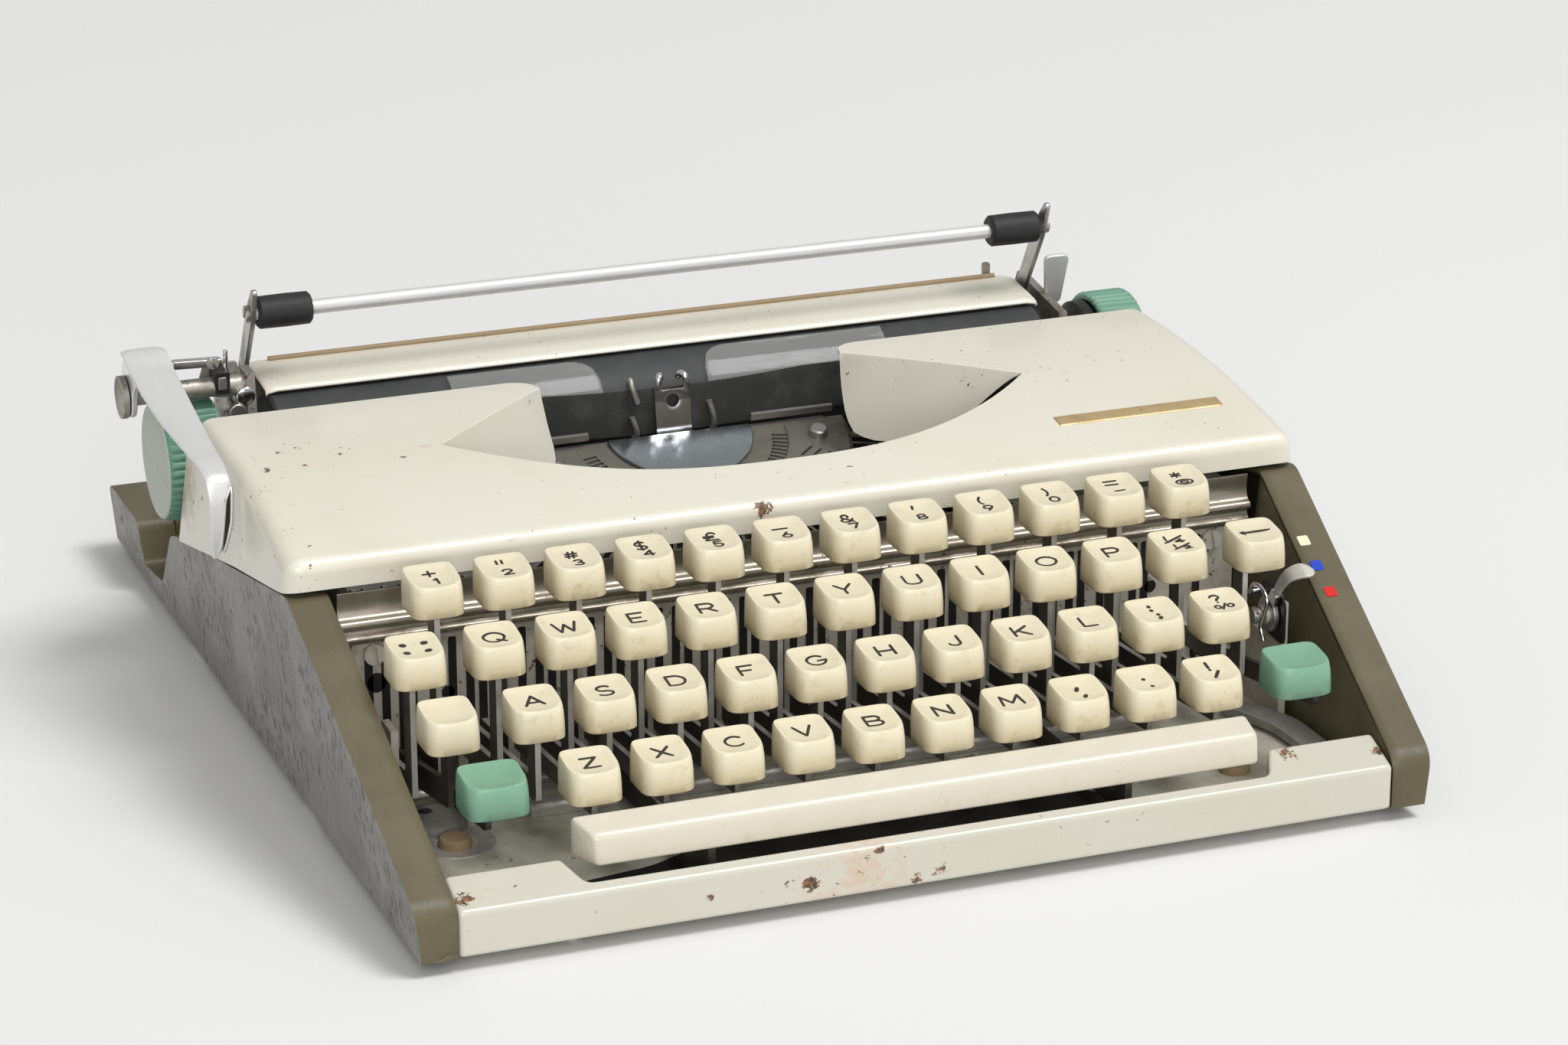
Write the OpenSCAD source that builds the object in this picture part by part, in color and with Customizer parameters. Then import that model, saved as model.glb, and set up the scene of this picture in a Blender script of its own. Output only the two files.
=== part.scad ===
// Portable typewriter with a flat body, a basket of typebars and a sliding carriage.
// Distances called "y" run back from the front face, heights run up from the table.

/* [Body] */
// Depth of the body, front face to rear face
body_d = 318; // [312:1:340]
// Room between the outermost key lever and the side plate beside it
lever_room = 2.4; // [2:0.2:8]
// Outward lean of the side panels, in degrees
panel_lean = 5.7; // [0:0.1:6]
// Width of a side panel's front face at the bottom
panel_face = 9.5; // [8:0.5:12]
// Thickness of the sheet metal in panels, deck and cover
sheet = 1.6; // [1.2:0.1:2]
// Height of the gap under the body that the feet make
foot_h = 4; // [3:0.5:6]
// Radius of a foot
foot_r = 8; // [6:0.5:10]
// Height of the side panels at the front
nose_h = 17.6; // [16:0.2:20]
// Height of the rear deck
deck_h = 22; // [21:0.5:26]
// Depth of the rear deck
deck_d = 36; // [34:1:40]
// Height of the front panel's top edge
strip_h = 16.2; // [15:0.1:17]
// Depth of the front panel's end blocks
strip_d = 13; // [11:0.5:15]
// Rise of the end blocks' top from the front edge to the rear
strip_rise = 4.6; // [3:0.2:6]
// Depth of the front panel's rim in front of the space bar
strip_rim = 4; // [3:0.5:5]

/* [Keyboard] */
// Spacing of the keys along a row
key_pitch = 19; // [18.6:0.1:19.4]
// Distance from the front face to the middle of the front row of keys
front_row_y = 24.4; // [24:0.2:27]
// Height of the front row's key tops
front_row_h = 40.5; // [40:0.5:44]
// Spacing of the rows, front to rear
row_depth = 16.6; // [16:0.1:18]
// Rise from one row to the next
row_rise = 11.6; // [10:0.1:12]
// Width of a key cap at its base
cap_w = 14; // [13:0.1:14.4]
// Height of a key cap
cap_h = 9.4; // [9:0.2:11]
// Width of a shift key's cap
shift_cap_w = 16.6; // [15:0.2:17]
// Thickness of a key lever
lever_t = 1.5; // [1.2:0.1:1.6]
// Height of a key lever's bar
lever_h = 6; // [5:0.5:7]
// Length of the space bar
space_bar_l = 181; // [170:1:184]
// Radius of the rod that the key levers turn on
fulcrum_r = 2.5; // [2:0.1:3]

/* [Ribbon cover] */
// Depth of the cover's top
cover_d = 98; // [96:1:104]
// How far the cover reaches past the foot of a side panel
cover_reach = 5; // [3:0.5:5.5]
// Height of the cover's front edge above the table
cover_h = 68.2; // [67:0.2:70]
// Height of the cover's front lip
cover_lip = 7.8; // [6:0.2:9]
// Rise of the cover's top beside the ends of its mouth, above its lower edge
cover_crown = 15; // [14.4:0.1:16.8]
// Rise of the cover's rear edge above that
cover_rear_rise = 0.3; // [-1:0.1:1]
// Half width of the opening at the cover's rear edge
mouth_rear = 46; // [44:1:50]
// Half width of the opening at its widest
mouth_wide = 85; // [80:1:88]

/* [Type basket] */
// Tilt of the segment, in degrees
segment_tilt = 16; // [12:0.5:16]
// Outer radius of the slotted segment
segment_r = 50; // [46:1:54]
// Radius of the half round plate on the segment
plate_r = 21.5; // [20:0.5:22]
// Reach of the typebars from the segment's centre
typebar_reach = 84; // [78:1:84]
// Number of typebars
typebar_count = 44; // [40:1:44]
// Width of the ribbon
ribbon_w = 13.5; // [12.7:0.1:14]
// Radius of a ribbon spool
spool_r = 17.5; // [16:0.5:18]

/* [Carriage] */
// Place of the carriage's middle, to the right of the body's middle
carriage_x = 4; // [0:0.5:5]
// Length of the platen
platen_l = 234; // [224:1:234]
// Radius of the platen
platen_r = 16; // [15:0.1:16.2]
// Height of the platen's axis
platen_h = 61; // [60.5:0.1:62]
// Radius of the platen knobs
knob_r = 16.7; // [16:0.1:17.4]
// Width of a platen knob
knob_w = 17; // [14:0.5:18]
// Radius of the platen's shaft
shaft_r = 4; // [3:0.1:4.5]
// Radius of a carriage rail
rail_r = 3; // [2.5:0.1:3.5]
// Length of the paper bail's arms
bail_arm = 33.3; // [33:0.1:36]
// Radius of the bail's rod
bail_rod_r = 2.1; // [1.8:0.1:2.4]
// Radius of the bail's rubber rollers
bail_roller_r = 4.7; // [4:0.1:4.7]
// Length of a bail roller
bail_roller_l = 15.5; // [12:0.5:20]
// Width of the return lever's strip
return_w = 12.5; // [10:0.5:13]

/* [Hidden] */
$fn = 48;

// Clearances
fit = 0.05;
gap = 0.3;
slot_gap = 0.35;

// Letters of the three letter rows, from the second row to the front row
letter_rows = ["qwertyuiop", "asdfghjkl", "zxcvbnm"];
// Shift of each row's first key from the body's middle, in key pitches: rear row first
row_start = [-5.78, -5.21, -4.96, -4.475];
// Keys in the rear row, and symbol keys at the right end of the other rows
figure_count = 12;
symbol_counts = [1, 2, 3];

// Stations from front to rear
row_y = [for (i = [3:-1:0]) front_row_y + i * row_depth];
row_top = [for (i = [3:-1:0]) front_row_h + i * row_rise];
rear_row_y = row_y[0];
cover_y = rear_row_y + 17.6;
comb_y = cover_y + 3.2;
cover_rear_y = cover_y + cover_d;
platen_y = cover_rear_y + 33.5;
segment_y = platen_y - 26.5;
segment_h = platen_h - 1;
ribbon_y = platen_y - 20.1;
ribbon_h = platen_h - 1;
fulcrum_y = platen_y - 18.5;
fulcrum_h = foot_h + 14;
rail_ys = [platen_y + 14.5, platen_y + 38.5];
rail_h = platen_h - 21;
bail_y = platen_y + 18.2;
bail_h = platen_h + 11.6;
bail_rise = 60;
return_y = platen_y - 4.5;
return_h = platen_h + 21.5;
floor_h = foot_h + sheet;

// Levers and caps of the special keys: left end first, then right end
lever_step = 4.5;
margin_lever_x = -6.4 * key_pitch;
lock_lever_x = margin_lever_x + lever_step;
left_shift_x = lock_lever_x + lever_step;
back_lever_x = 5.78 * key_pitch;
right_shift_x = 6.05 * key_pitch;
margin_cap_x = -6.3 * key_pitch;
lock_cap_x = -6.13 * key_pitch;
back_cap_x = 5.99 * key_pitch;
shift_cap_x = 5.81 * key_pitch;

// Side plates outside the levers, then the side panels and the cover
frame_t = 2;
frame_in = lever_room - margin_lever_x;
frame_out = frame_in + frame_t;
panel_in = frame_out + 1.5;
half_w = panel_in + panel_face;
body_w = 2 * half_w;
cover_w = body_w + 2 * cover_reach;
lean_run = tan(panel_lean);
shoulder_y = cover_y + 1.2;
shoulder_h = cover_h - 1.2;
tail_y = platen_y + 2.5;
tail_h = platen_h - 24;
notch_y = [tail_y + 9, tail_y + 30.5, body_d - deck_d - 2, body_d - deck_d];
notch_h = [tail_h - 3, foot_h + 8, foot_h + 5, deck_h];
side_line = [
  [0, foot_h], [0, nose_h], [shoulder_y, shoulder_h], [tail_y, tail_h],
  [notch_y[0], notch_h[0]], [notch_y[1], notch_h[1]], [notch_y[2], notch_h[2]],
  [notch_y[3], notch_h[3]], [body_d, deck_h], [body_d, foot_h]
];

// Levers and shafts under the keys
lever_show = 4.3;
lever_low_h = front_row_h - cap_h - lever_show;
knee_y = rear_row_y + 16.8;
knee_h = fulcrum_h + 4.4;
knee_rise = (lever_low_h + lever_h / 2 - knee_h) / (knee_y - front_row_y);
lever_rise = (knee_h - fulcrum_h) / (fulcrum_y - knee_y);
shaft_y = [rear_row_y + 13.8, rear_row_y + 75.8];
pivot_r = 1.8;
shaft_h = foot_h + 5;
stem_d = 6;
socket = 2;
space_arm_x = [for (i = [2, 8]) ((row_start[1] + row_start[2]) / 2 + i) * key_pitch];
space_y = 6.8;
space_d = 9;
space_h = 8.4;
space_rise = 2.2;
space_top = strip_h + 11.8;

// Cover outline
mouth_front_y = cover_y + 21.4;
mouth_wide_y = cover_y + 56;
mouth_curve = 2.6;
panel_fall = (shoulder_h - tail_h) / (tail_y - shoulder_y);
// Rear edge of the cover's cheeks, in front of the knobs, and the cheeks' outward lean per height
cheek_top_y = platen_y - knob_r - 5.2;
cheek_low_y = platen_y - knob_r + 3.7;
cheek_lean = 0.045;

// Carriage
end_t = 2.5;
end_in = platen_l / 2 + 5.5;
end_out = end_in + end_t;
left_knob_out = end_out + 25;
right_knob_out = end_out + 27;
arm_t = 1.5;
arm_in = platen_l / 2 + 2.5;
beam_y = [platen_y + 22.5, platen_y + 30.5];
beam_h = [platen_h - 15, platen_h - 7];
block_l = 10;
release_y = platen_y + 16.5;
release_h = platen_h - 3;
return_gap = 5 * gap;
outermost = cover_w / 2 + return_gap + return_w;
return_sheet = 1.8;
ear_t = 1.6;
head_t = 1.6;
lever_bar_r = 2.8;
ear_x = -outermost + head_t + gap;
return_line = [
  [return_y + 3, return_h + 10.5], [return_y - 44, return_h + 7.1],
  [return_y - 69, return_h + 1.3], [return_y - 73.5, return_h - 22]
];
// How much narrower the lever is at its bend and at the tip of its tab, on the outside and the inside
return_taper = 6;
tip_taper = 3.5;

// Ribbon drive
spool_x = frame_in - 22;
spool_y = cover_y + 60;
spool_h = ribbon_w + 3;
shelf_h = ribbon_h - sheet - gap - 1.5;
comb_h = shelf_h + 5.6;
spool_post_h = spool_h + 3;
// Height of the cover's crown, over its lower edge and clear of the spools' posts
crown_room = 7.5;
crown_h = max(cover_h + cover_crown, shelf_h + spool_post_h + crown_room);
cover_rear_h = crown_h + cover_rear_rise;
guide_x = 62;
selector_tip = [55.5, 53];
selector_arm = 19;

// Carries a shape drawn in distances from the front face into the part's frame
module from_front() {
  translate([0, -body_d / 2, 0]) children();
}

// Extrudes an outline drawn as (y, height) along the width
module along_x(x, w) {
  translate([x, 0, 0]) rotate([90, 0, 90]) linear_extrude(w) children();
}

// Extrudes an outline drawn as (x, height) along the depth
module along_y(y, d) {
  translate([0, y + d, 0]) rotate([90, 0, 0]) linear_extrude(d) children();
}

// Round bar along the width
module rod(x, w, y, h, r) {
  translate([x, y, h]) rotate([0, 90, 0]) cylinder(h = w, r = r);
}

// Both hands of a shape
module pair() {
  children();
  mirror([1, 0, 0]) children();
}

// Centre of the circle through three points
function arc_centre(a, b, c) =
  let (u = b - a, v = c - a, d = 2 * (u[0] * v[1] - u[1] * v[0]))
  a + [v[1] * (u * u) - u[1] * (v * v), u[0] * (v * v) - v[0] * (u * u)] / d;

// Points of the arc from a to c through b
function arc(a, b, c, n) =
  let (m = arc_centre(a, b, c), r = norm(a - m))
  let (s = atan2(a[1] - m[1], a[0] - m[0]), e = atan2(c[1] - m[1], c[0] - m[0]))
  [for (i = [0:n]) m + r * [cos(s + (e - s) * i / n), sin(s + (e - s) * i / n)]];

function reversed(list) = [for (i = [len(list) - 1:-1:0]) list[i]];
function lowered(list, d) = [for (p = list) [p[0], p[1] - d]];

cover_arc = arc([cover_y, cover_h + cover_lip], [mouth_wide_y, crown_h], [cover_rear_y, cover_rear_h], 16);
cover_mid = arc_centre(cover_arc[0], cover_arc[8], cover_arc[16]);
cover_radius = norm(cover_arc[0] - cover_mid);
// Height of the cover's top at a distance from the front
function cover_top(y) = cover_mid[1] + sqrt(cover_radius * cover_radius - pow(y - cover_mid[0], 2));

// Height of the front panel's sloping top at a distance from the front
function strip_top(y) = strip_h + strip_rise * y / strip_d;
// Middle height of a key lever at a distance from the front, steeper in front of its knee
function lever_mid(y) = y > knee_y
  ? fulcrum_h + lever_rise * (fulcrum_y - y)
  : knee_h + knee_rise * (knee_y - y);
function cap_bottom(row) = row_top[row] - cap_h;
function row_x(row, i) = (row_start[row] + i) * key_pitch;

// One row and place for each letter, and for the figure and symbol keys
function letter_row(c) = [for (r = [0:2]) if (len(search(c, letter_rows[r])) > 0) r][0];
function letter_at(c) = let (r = letter_row(c)) [r + 1, search(c, letter_rows[r])[0]];
figure_places = [
  for (i = [0:figure_count - 1]) [0, i],
  for (r = [0:2]) for (i = [0:symbol_counts[r] - 1]) [r + 1, len(letter_rows[r]) + i]
];
letter_places = [for (r = [0:2]) for (i = [0:len(letter_rows[r]) - 1]) [r + 1, i]];
lever_xs = concat(
  [for (p = concat(figure_places, letter_places)) row_x(p[0], p[1])],
  [margin_lever_x, lock_lever_x, left_shift_x, back_lever_x, right_shift_x]
);

// Solid between a panel's outline, its inner edge and its outer face, both leaning out above the nose
module panel_block(line, inner, outer) {
  intersection() {
    along_x(0, body_w) polygon(line);
    along_y(-1, body_d + 2) polygon([
      [inner, 0], [outer - foot_h * lean_run, 0], [outer + (cover_h - foot_h) * lean_run, cover_h],
      [inner + (cover_h - nose_h) * lean_run, cover_h], [inner, nose_h]
    ]);
  }
}

// A folded sheet: leaning outer wall and a flange that turns inward along the whole top edge
module side_panel() {
  hollow = concat(
    [[sheet, 0], [sheet, nose_h - sheet]],
    [for (i = [2:8]) side_line[i] + [i == 8 ? -sheet : i > 5 ? sheet : 0, -1.15 * sheet]],
    [[body_d - sheet, 0]]
  );
  difference() {
    panel_block(side_line, panel_in, half_w);
    panel_block(hollow, panel_in - 1, half_w - sheet);
  }
}

module left_side_panel() {
  color("#6d695c") from_front() mirror([1, 0, 0]) side_panel();
}

module right_side_panel() {
  color("#6d695c") from_front() side_panel();
}

// Front panel: two end blocks joined by a low rim, all folded from one sheet
rest = space_bar_l / 2 + 2.5;
slant = 4;
half_l = panel_in - gap;
module front_panel() {
  top = strip_top(strip_d);
  color("#ddd7c2") from_front() difference() {
    translate([0, 0, foot_h]) linear_extrude(top + 1 - foot_h) polygon([
      [-half_l, 0], [half_l, 0], [half_l, strip_d], [rest + slant, strip_d],
      [rest, strip_rim], [-rest, strip_rim], [-rest - slant, strip_d], [-half_l, strip_d]
    ]);
    along_x(-half_w, body_w) polygon([
      [-1, strip_top(-1)], [strip_d + 1, strip_top(strip_d + 1)], [strip_d + 1, top + 2], [-1, top + 2]
    ]);
    pair() along_x(rest + slant, half_l - rest - slant - sheet) strip_hollow(strip_d - sheet);
    along_x(-rest - slant - 1, 2 * (rest + slant + 1)) strip_hollow(strip_rim - sheet);
  }
}

// Room inside the front panel, from its front wall back to a depth
module strip_hollow(rear) {
  polygon([
    [sheet, foot_h - 1], [rear, foot_h - 1],
    [rear, strip_top(rear) - sheet], [sheet, strip_top(sheet) - sheet]
  ]);
}

// Floor of the body, between the panels, with a tongue under the space bar
module base_plate() {
  front = strip_d + gap;
  tongue = rest - gap;
  color("#8b8a84") from_front() difference() {
    translate([0, 0, foot_h]) linear_extrude(sheet) polygon([
      [-tongue, strip_rim + gap], [tongue, strip_rim + gap], [tongue, front], [half_l, front],
      [half_l, body_d - sheet - gap], [-half_l, body_d - sheet - gap], [-half_l, front], [-tongue, front]
    ]);
    translate([-mainspring_x, mainspring_y, foot_h - 1]) cylinder(h = sheet + 2, r = mainspring_pin_r);
  }
}

// Low deck behind the carriage: top, front wall and rear wall
module rear_deck() {
  front = body_d - deck_d;
  color("#6d695c") from_front() along_x(-half_l, 2 * half_l) polygon([
    [front, floor_h], [front, deck_h], [body_d, deck_h], [body_d, foot_h],
    [body_d - sheet, foot_h], [body_d - sheet, deck_h - sheet],
    [front + sheet, deck_h - sheet], [front + sheet, floor_h]
  ]);
}

feet_x = half_w - 34;
feet_y = [strip_d + 14, body_d - 24];
module rubber_feet() {
  color("#2a2a2a") from_front() pair() for (y = feet_y) translate([feet_x, y, 0])
    cylinder(h = foot_h, r = foot_r);
}

// One half of the cover's inner wing: a triangle that folds down from the opening's edge
module wing() {
  a = [mouth_rear, cover_rear_y - 2, cover_top(cover_rear_y - 2) - 0.4];
  b = [mouth_wide, mouth_wide_y, cover_top(mouth_wide_y) - 0.4];
  c = [mouth_rear - 1, cover_rear_y - 24, platen_h + 2.5];
  out = [0.8, 0.8, 0];
  down = [0, 0, -sheet];
  polyhedron(
    points = [a + out, b + out, c, a + out + down, b + out + down, c + down],
    faces = [[0, 1, 2], [5, 4, 3], [0, 3, 4, 1], [1, 4, 5, 2], [2, 5, 3, 0]]
  );
}

// Ribbon cover: crowned top with a mouth over the type basket, front lip, cheeks and wings
module ribbon_cover() {
  half = cover_w / 2;
  top_h = max(crown_h, cover_rear_h) + 1;
  top_half = half - (top_h - cover_h) * cheek_lean;
  smile = [for (i = [-12:12]) let (t = abs(i / 12))
    [mouth_wide * i / 12, mouth_front_y + (mouth_wide_y - mouth_front_y) * pow(t, mouth_curve)]];
  cheek = concat(
    [[cover_y, cover_h]], cover_arc,
    [[cover_rear_y + 6, cover_rear_h - 3.5], [cheek_top_y, platen_h + 11]],
    [[cheek_low_y, cover_h - (cheek_low_y - cover_y) * panel_fall]]
  );
  color("#ddd7c2") from_front() {
    difference() {
      along_x(-top_half, 2 * top_half) polygon(concat(
        [[cover_y, cover_h]], cover_arc,
        reversed(lowered([for (i = [1:16]) cover_arc[i]], sheet)),
        [[cover_y + sheet, cover_h + cover_lip - sheet], [cover_y + sheet, cover_h]]
      ));
      translate([0, 0, cover_h]) linear_extrude(top_h) polygon(concat(
        [[-mouth_rear, cover_rear_y + 1], [-mouth_rear, cover_rear_y - 2]], smile,
        [[mouth_rear, cover_rear_y - 2], [mouth_rear, cover_rear_y + 1]]
      ));
    }
    pair() intersection() {
      along_x(0, cover_w) polygon(cheek);
      along_y(cover_y - 1, body_d) polygon([for (p = [[0, 0], [sheet, 0], [sheet, 1], [0, 1]])
        [half - p[0] + (cover_h - p[1] * top_h) * cheek_lean, p[1] * top_h]]);
    }
    pair() wing();
  }
}

// Chassis: side plates with the bearings, the lever comb, a cross bar with guide posts, spool shelves
module main_frame() {
  plate = [
    [rear_row_y - 14, floor_h], [rear_row_y - 14, selector_pivot[1] + 4],
    selector_pivot + [4, 4], [selector_pivot[0] + 9, foot_h + 24], [comb_y, foot_h + 24],
    [comb_y, comb_h], [spool_y + 13, comb_h], [bar_y, rail_h - 6],
    [rail_ys[0] - 3.6, rail_h - 6], [rail_ys[0] - 3.6, rail_h + 3.2],
    [rail_ys[1] + 6, rail_h + 3.2], [rail_ys[1] + 6, floor_h]
  ];
  color("#9a9890") from_front() {
    difference() {
      pair() along_x(frame_in, frame_t) polygon(plate);
      rod(-half_w, body_w, fulcrum_y, fulcrum_h, fulcrum_r + fit);
      for (y = shaft_y) rod(-half_w, body_w, y, shaft_h, pivot_r + fit);
      for (y = rail_ys) rod(-half_w, body_w, y, rail_h, rail_r + fit);
    }
    difference() {
      translate([-frame_in, comb_y, floor_h]) cube([2 * frame_in, sheet, comb_h - floor_h]);
      for (x = lever_xs) translate([x - lever_t / 2 - slot_gap, comb_y - 1, floor_h - 1])
        cube([lever_t + 2 * slot_gap, sheet + 2, lever_mid(comb_y) + lever_h / 2 + 1 - floor_h + 1]);
    }
    translate([-frame_in, bar_y, bar_h]) cube([2 * frame_in, bar_d, bar_t]);
    post(vibrator_w / 2 + 2, 0, ribbon_y - 0.4, ribbon_h - 6);
    pair() post(4, 34, segment_y + 2.8, segment_h - 8);
    pair() translate([spool_x - 16, spool_y - 22, shelf_h]) cube([frame_in - spool_x + 16, 44, sheet]);
    pair() translate([spool_x, spool_y, shelf_h]) cylinder(h = spool_post_h, r = 3);
    translate([frame_in - 3.4, selector_pivot[0], selector_pivot[1]]) rotate([0, 90, 0])
      cylinder(h = 3.5, r = 2.5);
  }
}

// Cross bar behind the segment, and a guide post that stands on it and faces forward
bar_y = platen_y - 11.5;
bar_d = 4;
bar_h = rail_h - 12;
bar_t = 6;
vibrator_w = 10.6;
prong_w = 3.4;
module post(half, x, face_y, top) {
  translate([x - half, face_y, bar_h]) cube([2 * half, bar_y + 1 - face_y, bar_t]);
  translate([x - half, face_y, bar_h]) cube([2 * half, 3, top - bar_h]);
}

module key_fulcrum_rod() {
  color("#b9b9b4") from_front() rod(-frame_out, 2 * frame_out, fulcrum_y, fulcrum_h, fulcrum_r);
}

module carriage_rails() {
  color("#c3c3c0") from_front() for (y = rail_ys)
    rod(-frame_out, 2 * frame_out, y, rail_h, rail_r);
}

// Spring drum that draws the carriage along, on a pin in the floor
mainspring_x = panel_in - 42.5;
mainspring_y = body_d - 18;
mainspring_r = 14;
mainspring_pin_r = 3;
module mainspring_drum() {
  color("#a59a72") from_front() translate([-mainspring_x, mainspring_y, 0]) {
    translate([0, 0, floor_h + gap]) cylinder(h = deck_h - sheet - floor_h - 2 * gap - 1, r = mainspring_r);
    translate([0, 0, foot_h]) cylinder(h = sheet + gap + 1, r = mainspring_pin_r - fit);
  }
}

// Tilts a shape drawn flat about the segment's centre
module basket_tilt() {
  translate([0, segment_y, segment_h]) rotate([segment_tilt, 0, 0]) children();
}

// Angles of the typebars around the segment, straight ahead being 270 degrees
fan = 78;
function bar_angle(i) = 270 - fan + 2 * fan * i / (typebar_count - 1);
bar_depth = 4;
bar_thick = 0.9;
bar_root = plate_r + 6;

// Slotted half disc that the typebars hang in, with a rear flange that slides on the guide posts
module type_segment() {
  color("#4b4a46") from_front() {
    basket_tilt() difference() {
      rotate([0, 0, 180]) rotate_extrude(angle = 180, $fn = 96) translate([0, -9]) square([segment_r, 8.3]);
      for (i = [0:typebar_count - 1]) rotate([0, 0, bar_angle(i)])
        translate([bar_root - 0.5, -bar_thick / 2 - 0.12, -1 - bar_depth])
          cube([segment_r, bar_thick + 0.24, 6]);
    }
    translate([-segment_r + 5, segment_y - 0.5, segment_h - 26]) cube([2 * segment_r - 10, 3, 25]);
  }
}

// Typebars at rest: flat bars in the slots with a type slug at the far end
module typebars() {
  color("#77756e") from_front() basket_tilt() for (i = [0:typebar_count - 1]) rotate([0, 0, bar_angle(i)]) {
    translate([bar_root, -bar_thick / 2, -1 - bar_depth])
      cube([typebar_reach - bar_root - 4, bar_thick, bar_depth]);
    translate([typebar_reach - 4, -1.4, -1.5 - bar_depth]) cube([4, 2.8, bar_depth + 1]);
  }
}

// Half round bright plate in the middle of the segment
module type_guide() {
  color("#d4d6d8") from_front() basket_tilt() translate([0, 0, -0.7])
    rotate([0, 0, 180]) rotate_extrude(angle = 180, $fn = 96) square([plate_r, 1.2]);
}

// Fork that lifts the ribbon to the printing line: a plate with a notch and two prongs
module ribbon_vibrator() {
  front = ribbon_y - 1.7;
  color("#d4d6d8") from_front() difference() {
    union() {
      translate([-vibrator_w / 2, front, ribbon_h - 18]) cube([vibrator_w, 1.1, 18 + ribbon_w - 1]);
      pair() translate([vibrator_w / 2 - prong_w, front, ribbon_h + ribbon_w - 1.2]) {
        cube([prong_w, 1.1, 3.4]);
        translate([0, 0, 2.2]) cube([prong_w, 3, 1.2]);
      }
    }
    translate([0, front - 1, ribbon_h + ribbon_w - 5]) rotate([-90, 0, 0]) cylinder(h = 4, r = 2.2);
  }
}

// Spool: core and two flanges, turning on the shelf's post
module spool() {
  translate([spool_x, spool_y, shelf_h + sheet + gap]) difference() {
    union() {
      cylinder(h = 1, r = spool_r);
      cylinder(h = spool_h, r = spool_r - 5);
      translate([0, 0, spool_h - 1]) cylinder(h = 1, r = spool_r);
    }
    translate([0, 0, -1]) cylinder(h = spool_h + 2, r = 3 + fit);
  }
}

module left_ribbon_spool() {
  color("#3a3a3a") from_front() mirror([1, 0, 0]) spool();
}

module right_ribbon_spool() {
  color("#3a3a3a") from_front() spool();
}

// Ribbon: a thin band past the printing line, with both ends turned forward to the spools
module ribbon() {
  half_t = 0.2;
  turn = [spool_x - spool_r + 5 - 2 * gap, spool_y + 2];
  color("#1c1c1e") from_front() translate([0, 0, ribbon_h]) linear_extrude(ribbon_w) polygon([
    [-guide_x, ribbon_y + half_t], [-turn[0] - half_t, turn[1]], [-turn[0] + half_t, turn[1]],
    [-guide_x + half_t, ribbon_y - half_t], [guide_x - half_t, ribbon_y - half_t],
    [turn[0] - half_t, turn[1]], [turn[0] + half_t, turn[1]], [guide_x, ribbon_y + half_t]
  ]);
}

// Ribbon colour lever: hub on the right side plate, arm, and a tip over the panel's flange
selector_slope = atan2(shoulder_h - nose_h, shoulder_y);
selector_pivot = selector_tip - selector_arm * [-sin(selector_slope), cos(selector_slope)];
module ribbon_selector() {
  x = frame_in - 2.6;
  color("#b9b9b4") from_front() {
    difference() {
      union() {
        rod(x, 1.6, selector_pivot[0], selector_pivot[1], 5);
        translate([x, selector_pivot[0], selector_pivot[1]]) rotate([selector_slope, 0, 0])
          translate([0, -2, 0]) cube([1.6, 4, selector_arm + 1]);
      }
      rod(x - 1, 4, selector_pivot[0], selector_pivot[1], 2.5 + fit);
    }
    translate([x, selector_tip[0], selector_tip[1]]) rotate([selector_slope, 0, 0])
      translate([0, -2, 0]) cube([panel_in - x + 5, 4, 1.2]);
  }
}

// Carriage: end plates, rear beam on four rail blocks, and the return lever's pivot bar
module carriage_frame() {
  plate = [
    [platen_y - 14, platen_h - 8], [platen_y - 8, platen_h + 15], [bail_y + 5, platen_h + 19],
    [beam_y[1], platen_h + 6], [beam_y[1], beam_h[0]], [platen_y - 6, beam_h[0]]
  ];
  color("#7d7b74") from_front() translate([carriage_x, 0, 0]) {
    difference() {
      union() {
        pair() along_x(end_in, end_t) polygon(plate);
        along_x(-end_out, end_t) polygon([
          [return_y - 6, platen_h + 10], [return_y - 4, return_h + 4],
          [return_y + 4, return_h + 4], [return_y + 12, platen_h + 10]
        ]);
        translate([-end_out, beam_y[0], beam_h[0]])
          cube([2 * end_out, beam_y[1] - beam_y[0], beam_h[1] - beam_h[0]]);
        pair() for (y = rail_ys) translate([block_l, y - 6, rail_h - 6]) cube([block_l, 12, 10]);
        pair() translate([block_l, rail_ys[0] - 6, rail_h + 3.4])
          cube([block_l, rail_ys[1] - rail_ys[0] + 12, beam_h[0] - rail_h - 3.4 + 1]);
      }
      rod(-body_w, 2 * body_w, platen_y, platen_h, shaft_r + fit);
      for (y = rail_ys) rod(-body_w, 2 * body_w, y, rail_h, rail_r + fit);
    }
    pair() rod(arm_in - 0.4, end_in - arm_in + 0.5, bail_y, bail_h, 2);
    rod(-outermost - carriage_x, outermost + carriage_x - end_in, return_y, return_h, lever_bar_r);
    rod(-outermost - carriage_x, head_t, return_y, return_h, 6);
    rod(end_out - 0.1, 3, release_y, release_h, 2);
  }
}

module platen() {
  color("#2c2d30") from_front() translate([carriage_x, 0, 0]) {
    rod(-platen_l / 2, platen_l, platen_y, platen_h, platen_r);
    rod(-left_knob_out + 2, left_knob_out + right_knob_out - 4, platen_y, platen_h, shaft_r);
  }
}

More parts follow.
